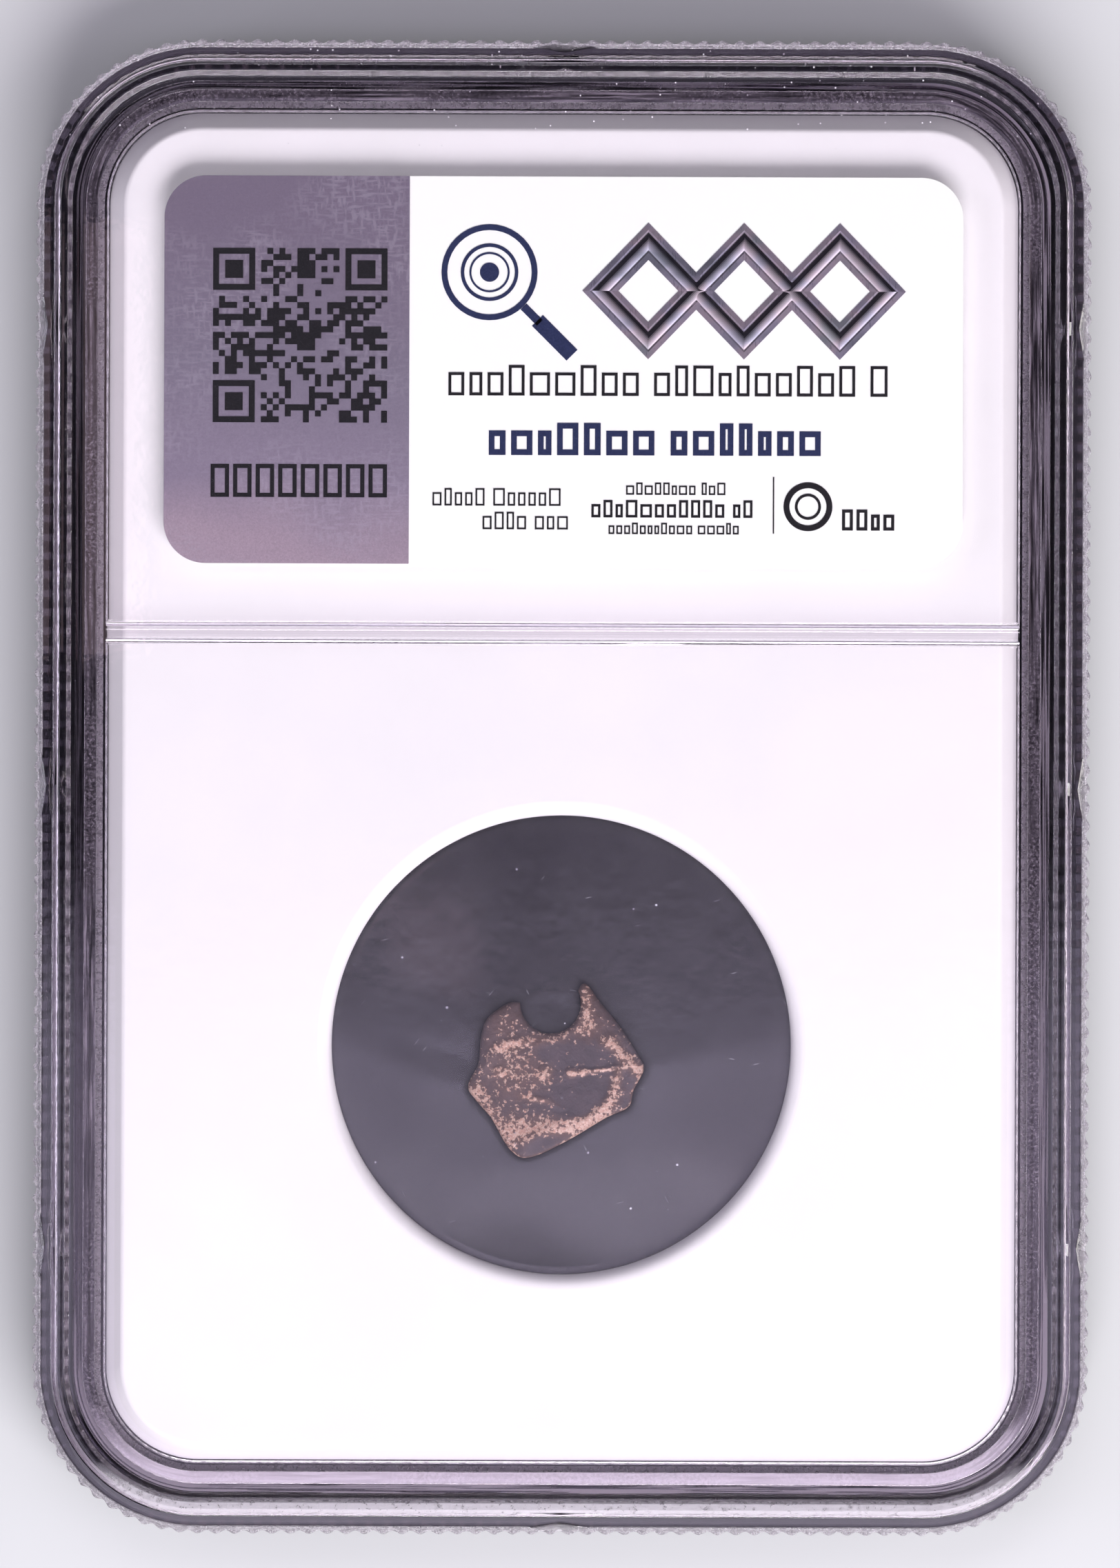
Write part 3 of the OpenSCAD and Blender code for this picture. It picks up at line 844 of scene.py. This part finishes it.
# The coin's edge about the aperture's centre, anticlockwise from the right horn
COIN_EDGE = [
    (1.26, 3.52), (0.4, 2.2), (-1.6, 2.2), (-2.7, 2.45), (-3.49, 2.11), (-4.3, 1.4), (-4.62, 0.3),
    (-4.75, -1.09), (-5.33, -2.38), (-4.81, -3.26), (-4.0, -4.2), (-3.2, -5.62), (-2.73, -6.18),
    (-2.17, -6.47), (-1.23, -6.28), (0.66, -5.33), (2.54, -4.2), (3.86, -3.54), (4.15, -2.6),
    (4.75, -1.38), (4.49, -0.72), (3.4, 1.0), (2.26, 2.39),
]
BITE_AT, BITE_R = (-0.62, 2.38), 1.74
COIN_BODY = 0.40
COIN_EDGE_HALF = 0.17
COIN_GRID = 0.065

# Raised lines: points, half width and height
REAR_LINES = [
    ([(1.3, -1.5), (2.3, -1.4), (3.3, -1.2)], 0.15, 0.11),
    ([(2.8, 0.2), (3.3, -0.2), (3.75, -0.75), (4.0, -1.1)], 0.26, 0.09),
    ([(3.5, -1.2), (3.2, -1.7), (2.95, -2.7), (2.35, -3.6), (1.4, -4.35)], 0.26, 0.11),
    ([(1.4, -4.35), (0.5, -4.25), (-0.2, -4.6), (-1.2, -5.1), (-2.1, -5.7)], 0.42, 0.10),
    ([(-4.4, -1.4), (-3.8, -0.1), (-3.2, 0.07), (-2.5, 0.33)], 0.22, 0.06),
    ([(-2.5, 0.33), (-1.5, 0.0), (-0.6, 0.16), (0.5, 0.85), (1.35, 1.9)], 0.24, 0.05),
    ([(-1.5, -3.1), (-0.8, -3.1), (-0.1, -3.6)], 0.16, 0.06),
    ([(-4.9, -2.6), (-4.3, -3.5), (-3.7, -4.6), (-2.9, -5.7)], 0.35, 0.06),
]
REAR_PELLETS = [(0.56, -1.55, 0.27, 0.13), (1.2, -1.5, 0.24, 0.12), (-0.97, -1.55, 0.33, 0.10),
                (-3.54, -1.55, 0.30, 0.08), (2.75, 0.2, 0.42, 0.11)]
FRONT_LINES = [
    ([(-3.4, -1.0), (-2.6, 0.1), (-1.2, 0.3), (0.4, 0.1), (1.8, -0.4), (3.0, -1.3)], 0.28, 0.10),
    ([(-3.0, -3.2), (-1.6, -2.4), (0.0, -2.2), (1.6, -2.6)], 0.24, 0.10),
    ([(-2.4, -4.9), (-1.0, -4.2), (0.8, -4.1)], 0.26, 0.08),
]
FRONT_PELLETS = [(x, -1.2 - 0.25 * abs(x), 0.26, 0.10) for x in (-2.2, -1.1, 0.0, 1.1, 2.2)]

# Where handling has rubbed the patina: centre, half widths, turn in degrees and amount
REAR_RUBBED = [
    (-2.6, -1.6, 2.2, 1.9, 0, 0.30), (-3.2, 1.2, 0.9, 1.0, 40, 0.16), (-3.0, -0.05, 0.75, 0.22, 12, 0.55),
    (-0.9, 0.35, 2.2, 0.35, 12, 0.26), (1.45, 2.6, 0.35, 1.0, 0, 0.45), (1.5, 1.2, 0.9, 0.7, -40, 0.36),
    (2.9, 0.05, 0.50, 0.40, -30, 0.65), (3.7, -0.75, 0.75, 0.32, -45, 0.60), (4.4, -1.4, 0.40, 0.35, 0, 0.55),
    (3.1, -2.3, 0.28, 1.1, -15, 0.60), (2.2, -3.9, 1.2, 0.42, 42, 0.66), (0.8, -4.6, 0.9, 0.42, 20, 0.66),
    (-0.8, -4.7, 1.2, 0.55, 0, 0.56), (-2.7, -5.0, 0.95, 0.75, -35, 0.60), (-4.9, -2.8, 0.42, 0.55, 0, 0.60),
    (-4.0, -3.9, 0.40, 0.80, 30, 0.34), (-1.2, -3.2, 1.1, 0.16, -12, 0.42), (-3.4, -1.66, 0.35, 0.30, 0, 0.40),
    (-0.9, -1.65, 0.38, 0.34, 0, 0.45), (0.62, -1.66, 0.27, 0.25, 0, 0.80), (1.25, -1.6, 0.26, 0.22, 0, 0.75),
    (2.3, -1.45, 0.95, 0.12, 6, 0.70), (0.9, -2.9, 1.3, 1.1, 0, -0.30), (0.8, -0.6, 1.6, 0.45, 0, -0.22),
    (-1.2, -5.7, 0.9, 0.28, 20, -0.25), (-0.6, -0.5, 0.7, 0.5, 0, -0.18),
]
FRONT_RUBBED = [(0.0, 0.1, 3.0, 0.5, -10, 0.5), (0.0, -2.6, 2.6, 0.5, 0, 0.45), (-1.5, -4.6, 2.0, 0.6, 10, 0.5),
                (0.0, -1.5, 3.5, 3.0, 0, 0.15)]


def soft_outline(points, steps=10):
    """The points joined by a smooth closed curve."""
    p = np.array(points)
    out = []
    for i in range(len(p)):
        a, b, c, d = p[i - 1], p[i], p[(i + 1) % len(p)], p[(i + 2) % len(p)]
        for k in range(steps):
            t = k / steps
            out.append(0.5 * (2 * b + (c - a) * t + (2 * a - 5 * b + 4 * c - d) * t * t
                              + (3 * b - a - 3 * c + d) * t ** 3))
    return np.array(out)


def to_path(points, path, closed):
    """Distance from each point to a path, with the side that it lies on for a closed one."""
    best = np.full(len(points), 1e9)
    inside = np.zeros(len(points), bool)
    for a, b in zip(path, np.roll(path, -1, axis=0) if closed else path[1:]):
        along = b - a
        t = np.clip(((points - a) @ along) / max(along @ along, 1e-12), 0, 1)
        best = np.minimum(best, np.linalg.norm(points - a - t[:, None] * along, axis=1))
        if closed:
            crosses = (a[1] > points[:, 1]) != (b[1] > points[:, 1])
            at = a[0] + (points[:, 1] - a[1]) * along[0] / (along[1] if along[1] else 1e-12)
            inside ^= crosses & (points[:, 0] < at)
    return np.where(inside, -best, best) if closed else best


COIN_PATH = soft_outline(COIN_EDGE)


def coin_distance(points):
    """Distance outside the coin's edge, negative inside."""
    outer = to_path(points, COIN_PATH, True)
    bite = BITE_R - np.linalg.norm(points - np.array(BITE_AT), axis=1)
    return np.maximum(outer, bite)


def relief(points, lines, pellets):
    """Height of the struck design, from 0 up, rubbed down by age."""
    height = np.zeros(len(points))
    for path, half, tall in lines:
        d = to_path(points, np.array(path), False) / half
        height = np.maximum(height, tall * np.exp(-d ** 2 * 1.2))
    for x, y, r, tall in pellets:
        d = np.linalg.norm(points - np.array([x, y]), axis=1) / r
        height = np.maximum(height, tall * np.clip(1 - d ** 2 * 0.6, 0, 1) ** 0.8 * (d < 1.3))
    return height


def rubbed(points, patches):
    """How far the patina is worn off, from the patches."""
    total = np.zeros(len(points))
    for x, y, half_x, half_y, turn, amount in patches:
        c, s = math.cos(math.radians(turn)), math.sin(math.radians(turn))
        u = ((points[:, 0] - x) * c + (points[:, 1] - y) * s) / half_x
        v = (-(points[:, 0] - x) * s + (points[:, 1] - y) * c) / half_y
        total += amount * np.exp(-(u ** 2 + v ** 2))
    return total


def coin_face(points, inside, lines, pellets, patches, seed):
    """Height of one face over the coin's middle, and how bare the metal is there, with a painted highlight
    along the lower edge.
    """
    flat = np.c_[points, np.full(len(points), seed * 3.1)]
    round_off = np.sqrt(np.clip(1 - (1 - np.clip(inside / 0.55, 0, 1)) ** 2, 0, 1))
    struck = relief(points, lines, pellets)
    swell = 0.035 * smooth_noise(flat, 0.45, seed)
    pits = smooth_noise(flat, 3.6, seed + 1) * 0.6 + smooth_noise(flat, 8.5, seed + 2) * 0.4
    height = COIN_EDGE_HALF + (COIN_BODY - 0.04 - COIN_EDGE_HALF) * round_off
    height += (struck + swell + 0.026 * pits) * np.clip(inside / 0.25, 0, 1)
    # Bare copper along the lower edge only: edge wear with a painted highlight where the key lamp below catches
    # the edge.
    rim = np.exp(-(inside / 0.10) ** 2) * (points[:, 1] < -1.5)
    wear = 0.16 + rubbed(points, patches) + 0.14 * pits + 0.35 * rim
    return np.minimum(height, COIN_HALF - 0.004), np.clip(wear, 0, 1)


def struck_coin():
    step = COIN_GRID
    xs, ys = np.arange(-5.6, 5.2, step), np.arange(-6.8, 3.9, step)
    gx, gy = np.meshgrid(xs, ys, indexing="ij")
    points = np.c_[gx.ravel(), gy.ravel()]
    middle = (gx[:-1, :-1].ravel() + step / 2, gy[:-1, :-1].ravel() + step / 2)
    keep = coin_distance(np.stack(middle, 1)) < -step * 0.3
    ny = len(ys)
    index = np.arange(len(points)).reshape(len(xs), ny)
    cells = np.stack([index[:-1, :-1].ravel(), index[1:, :-1].ravel(), index[1:, 1:].ravel(),
                      index[:-1, 1:].ravel()], 1)[keep]
    sides = np.concatenate([cells[:, [0, 1]], cells[:, [1, 2]], cells[:, [2, 3]], cells[:, [3, 0]]])
    pairs = {(a, b) for a, b in sides.tolist()}
    border = [(a, b) for a, b in sides.tolist() if (b, a) not in pairs]
    edge = np.unique(np.array(border).ravel())
    for _ in range(3):
        here = points[edge]
        d = coin_distance(here)
        gap = 1e-3
        slope = np.stack([coin_distance(here + [gap, 0]) - d, coin_distance(here + [0, gap]) - d], 1) / gap
        points[edge] = here - d[:, None] * slope / np.maximum((slope ** 2).sum(1, keepdims=True), 0.3)
    used = np.unique(cells.ravel())
    number = np.full(len(points), -1)
    number[used] = np.arange(len(used))
    flat = points[used]
    inside = np.clip(-coin_distance(flat), 0, None)
    top, bare_and_lit_edge_top = coin_face(flat, inside, REAR_LINES, REAR_PELLETS, REAR_RUBBED, 1)
    low, bare_and_lit_edge_low = coin_face(flat, inside, FRONT_LINES, FRONT_PELLETS, FRONT_RUBBED, 7)
    n = len(used)
    y = flat[:, 1] + APERTURE_Y
    verts = np.concatenate([np.c_[flat[:, 0], y, top], np.c_[flat[:, 0], y, -low]])
    quads = number[cells]
    faces = quads.tolist() + (quads[:, ::-1] + n).tolist()
    faces += [(number[b], number[a], number[a] + n, number[b] + n) for a, b in border]
    coin = new_object("struck_coin", verts, faces)
    point_values(coin, "wear", np.concatenate([bare_and_lit_edge_top, bare_and_lit_edge_low]))
    return coin


finish_piece(struck_coin(), "coin", BRONZE)


# ---------------------------------------------------------------- the films that hold the coin

FILM_RISE = 0.57
FILM_SHEET = 0.08
FILM_LOW = 0.01
FAN_Y = -1.5    # where the mesh's rings close in under the coin, from the aperture's centre


def tent(points):
    """The film's height: stretched from its clamped ring up to the coin's face."""
    r = np.linalg.norm(points, axis=1)
    to_ring = np.clip(FILM_CONE_R - r, 0, None)
    to_coin = np.clip(coin_distance(points) - 0.15, 0, None)
    rise = to_ring / np.maximum(to_ring + to_coin, 1e-9)
    return FILM_LOW + (FILM_RISE - FILM_LOW) * (1 - (1 - rise) ** 1.35)


def film(name, hand):
    """A clamped flange and a membrane drawn over the coin, as one thin sheet.

    Hand is -1 for the film that is turned over, because the coin's outline is then mirrored under it.
    """
    radii = np.concatenate([np.linspace(0, FILM_CONE_R, 56), [13.2, 14.2, FILM_R - 0.01]])
    steps = 144
    rings = [np.array([[0.0, FAN_Y]])]
    for r in radii[1:]:
        a = np.arange(steps) * 2 * math.pi / steps
        shift = FAN_Y * np.clip(1 - r / FILM_CONE_R, 0, 1)
        rings.append(np.stack([r * np.cos(a), r * np.sin(a) + shift], 1))
    flat = np.concatenate(rings)
    under = flat * [hand, 1]
    low = tent(under)
    n = len(flat)
    y = flat[:, 1] + APERTURE_Y
    verts = np.concatenate([np.c_[flat[:, 0], y, low + FILM_SHEET], np.c_[flat[:, 0], y, low]])
    top = [(0, 1 + i, 1 + (i + 1) % steps) for i in range(steps)]
    for k in range(len(radii) - 2):
        a, b = 1 + k * steps, 1 + (k + 1) * steps
        top += [(a + i, b + i, b + (i + 1) % steps, a + (i + 1) % steps) for i in range(steps)]
    faces = top + [tuple(n + v for v in reversed(face)) for face in top]
    last = n - steps
    edge = [(last + i, last + (i + 1) % steps) for i in range(steps)]
    faces += [(b, a, n + a, n + b) for a, b in edge]
    sheet = new_object(name, verts, faces)
    point_values(sheet, "touch", np.tile(np.clip(0.5 - coin_distance(under) / 0.6, 0, 1), 2))
    return sheet


finish_piece(film("rear_film_sheet", 1), "rear_film", FILM)
finish_piece(turn_over(film("front_film_sheet", -1)), "front_film", FRONT_FILM)


# ---------------------------------------------------------------- labels

INK_LOW, INK_HIGH = 0.008, 0.022


class Print:
    """Flat shapes printed in one ink, gathered into one thin piece."""

    def __init__(self, base):
        self.base = base
        self.verts = []
        self.faces = []

    def shape(self, outline, hole=None):
        """A thin slab over an outline. The hole is an outline with as many points, going the same way."""
        n = len(outline)
        low, high = self.base + INK_LOW, self.base + INK_HIGH
        first = len(self.verts)
        rings = [(outline, low), (outline, high)]
        if hole:
            rings += [(hole, high), (hole, low)]
        self.verts += [(x, y, z) for ring, z in rings for x, y in ring]
        self.faces += shifted(ring_faces(4, n, True) if hole else stack_faces(2, n), first)

    def box(self, x0, y0, x1, y1):
        self.shape(rectangle(x0, y0, x1, y1))

    def frame(self, x0, y0, x1, y1, line):
        """A hollow rectangle."""
        self.shape(rectangle(x0, y0, x1, y1), rectangle(x0 + line, y0 + line, x1 - line, y1 - line))

    def ring(self, x, y, r, line):
        self.shape(circle(x, y, r, 40), circle(x, y, r - line, 40))

    def stroke(self, x0, y0, x1, y1, line):
        """A straight line with square ends."""
        run = math.hypot(x1 - x0, y1 - y0)
        nx, ny = -(y1 - y0) / run * line / 2, (x1 - x0) / run * line / 2
        self.shape([(x0 + nx, y0 + ny), (x0 - nx, y0 - ny), (x1 - nx, y1 - ny), (x1 + nx, y1 + ny)])

    def blocks(self, x0, x1, y0, y1, line, seed, word=(3, 8)):
        """A row of empty square boxes in groups, in place of a line of printing. It has no letters in it."""
        pick = random.Random(seed)
        h = y1 - y0
        x, left = x0, pick.randint(*word)
        while x < x1 - h * 0.4:
            w = min(h * pick.choice((0.42, 0.52, 0.52, 0.66)), x1 - x)
            top = y1 if pick.random() < 0.35 else y0 + h * 0.76
            self.frame(x, y0, x + w, top, line)
            left -= 1
            x += w + h * (0.17 if left else 0.5)
            left = left or pick.randint(*word)

    def make(self, name, node, material):
        thing = right_way_out(new_object(name, self.verts, self.faces, False))
        return finish_piece(thing, node, material)


def card(name):
    """The card, with edges very slightly rounded over."""
    soft = 0.03
    rings = [(0.0, PAD_Z + 0.004), (0.0, CARD_TOP - soft), (soft, CARD_TOP)]
    return crisp(rounded_block(name, LABEL_W, LABEL_H, LABEL_R, rings, 16), 60)


def foil_strip():
    """The laminated foil over the card's left end, cut round the card's corners."""
    outline = label_outline(LABEL_W - 0.02, LABEL_H - 0.02, LABEL_R - 0.01, 16)
    left = [p for p in outline if p[0] < STRIP_END]
    top, low = LABEL_Y + LABEL_H / 2 - 0.01, LABEL_Y - LABEL_H / 2 + 0.01
    ends = [(STRIP_END, top), *left, (STRIP_END, low)]
    return crisp(prism("security_foil_strip", ends, CARD_TOP + 0.004, FOIL_TOP), 50)


def lozenge(x, y, half_w, half_h):
    return [(x + half_w, y), (x, y + half_h), (x - half_w, y), (x, y - half_h)]


EMBLEM_W = 7.564
EMBLEM_PITCH = 5.478
# Rings across a lozenge's band: how far in and how high over the card each lies
BORDER_RINGS = ((0.01, 0.002), (0.01, 0.020), (0.30, 0.024), (0.36, 0.012), (1.14, 0.012), (1.20, 0.024),
                (1.49, 0.020), (1.49, 0.002))
RIDGE_RINGS = [(0.40, 0.012), (0.42, 0.030)]
RIDGE_RINGS += [(0.75 - 0.33 * math.cos(a), 0.030 + 0.016 * math.sin(a)) for a in np.linspace(0, math.pi, 13)]
RIDGE_RINGS += [(1.08, 0.030), (1.10, 0.012)]


def lozenge_rings(rings, lift, level, gain):
    """Rings of one band round each of the three lozenges, with a painted shade for each facet by the way it
    leans: facets facing the lamp below are painted lighter, the others darker.

    A level facet has the shade level, and gain is how much a leaning one differs from it.
    """
    verts, faces, painted_facet_light = [], [], []
    half_w, half_h = EMBLEM_W / 2, EMBLEM_H / 2
    sides = ((1, 1), (-1, 1), (-1, -1), (1, -1))
    for i in (-1, 0, 1):
        x = EMBLEM_X + i * EMBLEM_PITCH
        for j in range(len(rings) - 1):
            for k, (sx, sy) in enumerate(sides):
                first = len(verts)
                for inset, z in (rings[j], rings[j + 1]):
                    s = 1 - inset * math.hypot(half_w, half_h) / (half_w * half_h)
                    corners = lozenge(x, EMBLEM_Y, half_w * s, half_h * s)
                    height = CARD_TOP + 0.004 + z + lift * (i % 2)
                    verts += [(*corners[k], height), (*corners[(k + 1) % 4], height)]
                faces.append((first, first + 1, first + 3, first + 2))
                wide, tall = rings[j + 1][0] - rings[j][0], rings[j + 1][1] - rings[j][1]
                lean = math.atan2(tall, wide * 0.06) / math.pi * 2
                # Painted light: the facet's shade follows how far it faces the key lamp below.
                facing = (sx * 0.25 - sy * 0.97) * lean
                painted_facet_light += [min(1, max(0, level + gain * facing))] * 4
    return verts, faces, painted_facet_light


def emblem_pieces(name, node, flip):
    """Three overlapping lozenges in stamped foil: a flat border with a bevelled ridge inside it."""
    kinds = (("border", BORDER_RINGS, BORDER, 0.45, 0.40), ("ridge", RIDGE_RINGS, BEVEL, 0.18, 0.95))
    for kind, rings, material, level, gain in kinds:
        verts, faces, painted_facet_light = lozenge_rings(rings, 0.003, level, gain)
        thing = new_object(f"{name}_{kind}", verts, faces, False)
        point_values(thing, "shade", np.array(painted_facet_light))
        finish_piece(turn_over(thing) if flip else thing, node, material)


finish_piece(card("rear_label_card"), "rear_label", CARD)
finish_piece(turn_over(card("front_label_card")), "front_label", CARD)
finish_piece(foil_strip(), "rear_label_foil_strip", STRIP)
emblem_pieces("rear_emblem", "rear_label_foil_emblem", False)
emblem_pieces("front_emblem", "front_label_foil_emblem", True)


def code_block(ink, x, y, size, cells=29):
    """A made-up block of modules with three finder squares. It encodes nothing."""
    pick = random.Random(41)
    unit = size / cells
    finders = ((0, 0), (0, cells - 7), (cells - 7, cells - 7))
    for fx, fy in finders:
        ink.frame(x + fx * unit, y + fy * unit, x + (fx + 7) * unit, y + (fy + 7) * unit, unit)
        ink.box(x + (fx + 2) * unit, y + (fy + 2) * unit, x + (fx + 5) * unit, y + (fy + 5) * unit)
    for row in range(cells):
        column = 0
        while column < cells:
            near = any(fx - 1 <= column <= fx + 7 and fy - 1 <= row <= fy + 7 for fx, fy in finders)
            run = 0
            while column + run < cells and not near and pick.random() < 0.5:
                run += 1
                near = any(fx - 1 <= column + run <= fx + 7 and fy - 1 <= row <= fy + 7 for fx, fy in finders)
            if run:
                ink.box(x + column * unit, y + row * unit, x + (column + run) * unit, y + (row + 1) * unit)
            column += run + 1


strip_ink = Print(FOIL_TOP)
code_block(strip_ink, -20.05, 20.82, 9.97)
for k in range(8):
    strip_ink.frame(-20.16 + k * 1.29, 16.55, -20.16 + k * 1.29 + 1.06, 18.44, 0.24)
strip_ink.make("rear_code_print", "rear_label_foil_strip", INK)


def loupe(ink, x, y, r, line):
    """A magnifying glass over a coin, as a plain sign for grading."""
    ink.ring(x, y, r, line)
    ink.ring(x, y, r * 0.60, line * 0.6)
    ink.ring(x, y, r * 0.42, line * 0.35)
    ink.shape(circle(x, y, r * 0.2, 32))
    ink.stroke(x + r * 0.71, y - r * 0.71, x + r * 1.05, y - r * 1.05, line * 1.4)
    ink.stroke(x + r * 1.0, y - r * 1.0, x + r * 1.72, y - r * 1.72, line * 2.6)


card_navy = Print(CARD_TOP)
loupe(card_navy, -4.25, 29.45, 2.75, 0.34)
card_navy.blocks(-4.26, 16.16, 19.0, 20.85, 0.33, 3, (6, 9))
card_navy.make("rear_heading_print", "rear_label", NAVY)

card_ink = Print(CARD_TOP)
card_ink.blocks(-6.58, 18.53, 22.4, 24.15, 0.17, 5, (7, 10))
card_ink.blocks(-7.47, 0.28, 16.1, 17.1, 0.10, 7)
card_ink.blocks(-4.6, 0.28, 14.75, 15.75, 0.10, 8)
card_ink.blocks(3.6, 9.3, 16.75, 17.45, 0.09, 11, (8, 8))
card_ink.blocks(1.62, 11.28, 15.45, 16.45, 0.14, 12, (11, 11))
card_ink.blocks(2.6, 10.4, 14.5, 15.15, 0.09, 13, (11, 11))
card_ink.box(11.99, 14.55, 12.07, 17.8)
card_ink.ring(14.0, 16.1, 1.4, 0.34)
card_ink.ring(14.0, 16.1, 0.75, 0.16)
card_ink.blocks(15.95, 19.5, 14.75, 15.95, 0.18, 14, (4, 4))
card_ink.make("rear_small_print", "rear_label", INK)

front_navy = Print(CARD_TOP)
front_navy.blocks(-20.5, -2.0, 30.6, 32.4, 0.30, 21)
front_navy.blocks(-20.5, -4.0, 26.8, 28.5, 0.28, 22)
finish_piece(turn_over(front_navy.make("front_heading_print", None, NAVY)), "front_label")

front_ink = Print(CARD_TOP)
for k, (x0, x1) in enumerate(((-20.5, 12.0), (-20.5, 16.5), (-20.5, 6.0))):
    front_ink.blocks(x0, x1, 22.4 - 2.6 * k, 23.6 - 2.6 * k, 0.15, 31 + k)
pick_bars = random.Random(6)
bar_x = 8.6
while bar_x < 19.6:
    bar_w = pick_bars.choice((0.12, 0.12, 0.24, 0.36))
    front_ink.box(bar_x, 14.6, min(bar_x + bar_w, 19.9), 17.2)
    bar_x += bar_w + pick_bars.choice((0.14, 0.22, 0.30))
finish_piece(turn_over(front_ink.make("front_small_print", None, INK)), "front_label")


# ---------------------------------------------------------------- floor, light and camera

def plain_floor():
    """A pale floor that reaches well past the view."""
    reach = 1500
    corners = [(x, y, -MID_Z) for x, y in rectangle(-reach, -reach, reach, reach)]
    floor = new_object("floor", corners, [(0, 1, 2, 3)])
    n = Nodes("floor_paper")
    paper = n.add("BsdfPrincipled", Base_Color=(0.32, 0.32, 0.33, 1), Roughness=0.9)
    floor.data.materials.append(n.surface(paper))


def soft_lamp(name, at, aim, size, power, colour):
    data = bpy.data.lights.new(name, "AREA")
    data.shape = "RECTANGLE"
    data.size, data.size_y = size
    data.energy = power
    data.color = colour
    lamp = bpy.data.objects.new(name, data)
    lamp.location = at
    lamp.rotation_euler = (Vector(aim) - Vector(at)).to_track_quat("-Z", "Y").to_euler()
    lamp.visible_camera = False
    bpy.context.scene.collection.objects.link(lamp)


plain_floor()
soft_lamp("key", (0.16, -0.46, 0.40), (0, 0, 0), (0.70, 0.34), 12.2, (1.0, 0.99, 1.0))
soft_lamp("fill", (-0.05, 0.33, 0.60), (0, 0, 0), (0.60, 0.22), 1.9, (0.98, 0.96, 1.0))
soft_lamp("left", (-0.54, 0.05, 0.26), (0, 0, 0), (0.50, 0.12), 1.8, (0.90, 0.90, 1.0))
soft_lamp("right", (0.55, -0.05, 0.16), (0, 0, 0), (0.50, 0.12), 1.9, (1.0, 0.97, 0.95))
soft_lamp("low_panel", (0.01, -0.118, 0.50), (0.01, -0.118, 0), (0.24, 0.055), 0.030, (0.97, 0.93, 1.0))
soft_lamp("rose_panel", (-0.064, 0.032, 0.50), (-0.064, 0.032, 0), (0.050, 0.040), 0.0050, (1.0, 0.72, 0.80))


def studio_world():
    """A dim room with a soft pale band overhead and a darker patch round the camera.

    The plastic mirrors them, and the camera itself sees only a plain pale ground. The directions are slopes
    from straight up, and the ramp has slope 0 at 0.5.
    """
    n = Nodes("studio", world=True)
    ray = n.split(n.add("TexCoord").outputs["Generated"])
    across, along = (n.math("DIVIDE", ray[k], ray[2]) for k in (0, 1))
    band = n.ramp(n.math("ADD", along, 0.5), (0.20, 0.0), (0.28, 1.0), (0.481, 1.0), (0.494, 0.0))
    off_centre = n.math("MAXIMUM", n.math("DIVIDE", n.math("ABSOLUTE", across), 0.06),
                        n.math("DIVIDE", n.math("ABSOLUTE", along), 0.08))
    share = n.math("MULTIPLY", band, n.ramp(off_centre, (0.75, 0.28), (1.0, 1.0)))
    tone = n.mix(share, (0.036, 0.034, 0.046), (1.68, 1.53, 2.02))
    seen = n.mix(n.add("LightPath").outputs["Is Camera Ray"], tone, (0.62, 0.62, 0.64))
    return n.surface(n.add("Background", Color=seen))


scene = bpy.context.scene
scene.world = studio_world()
scene.view_settings.view_transform = "Standard"
scene.cycles.max_bounces = 9
scene.cycles.transmission_bounces = 9
scene.cycles.transparent_max_bounces = 18
scene.cycles.caustics_refractive = False
scene.cycles.caustics_reflective = False

CAMERA_HIGH = 0.800
VIEW_H = 89.66 * MM
camera_data = bpy.data.cameras.new("camera")
camera_data.sensor_fit = "VERTICAL"
camera_data.sensor_height = 36
camera_data.lens = 36 * (CAMERA_HIGH - (MID_Z + SERRATION_TOP) * MM) / VIEW_H
camera_data.clip_start = 0.01
camera = bpy.data.objects.new("camera", camera_data)
camera.location = (-0.12 * MM, 0.20 * MM, CAMERA_HIGH)
camera.rotation_euler = (0, 0, math.radians(0.2))
scene.collection.objects.link(camera)
scene.camera = camera
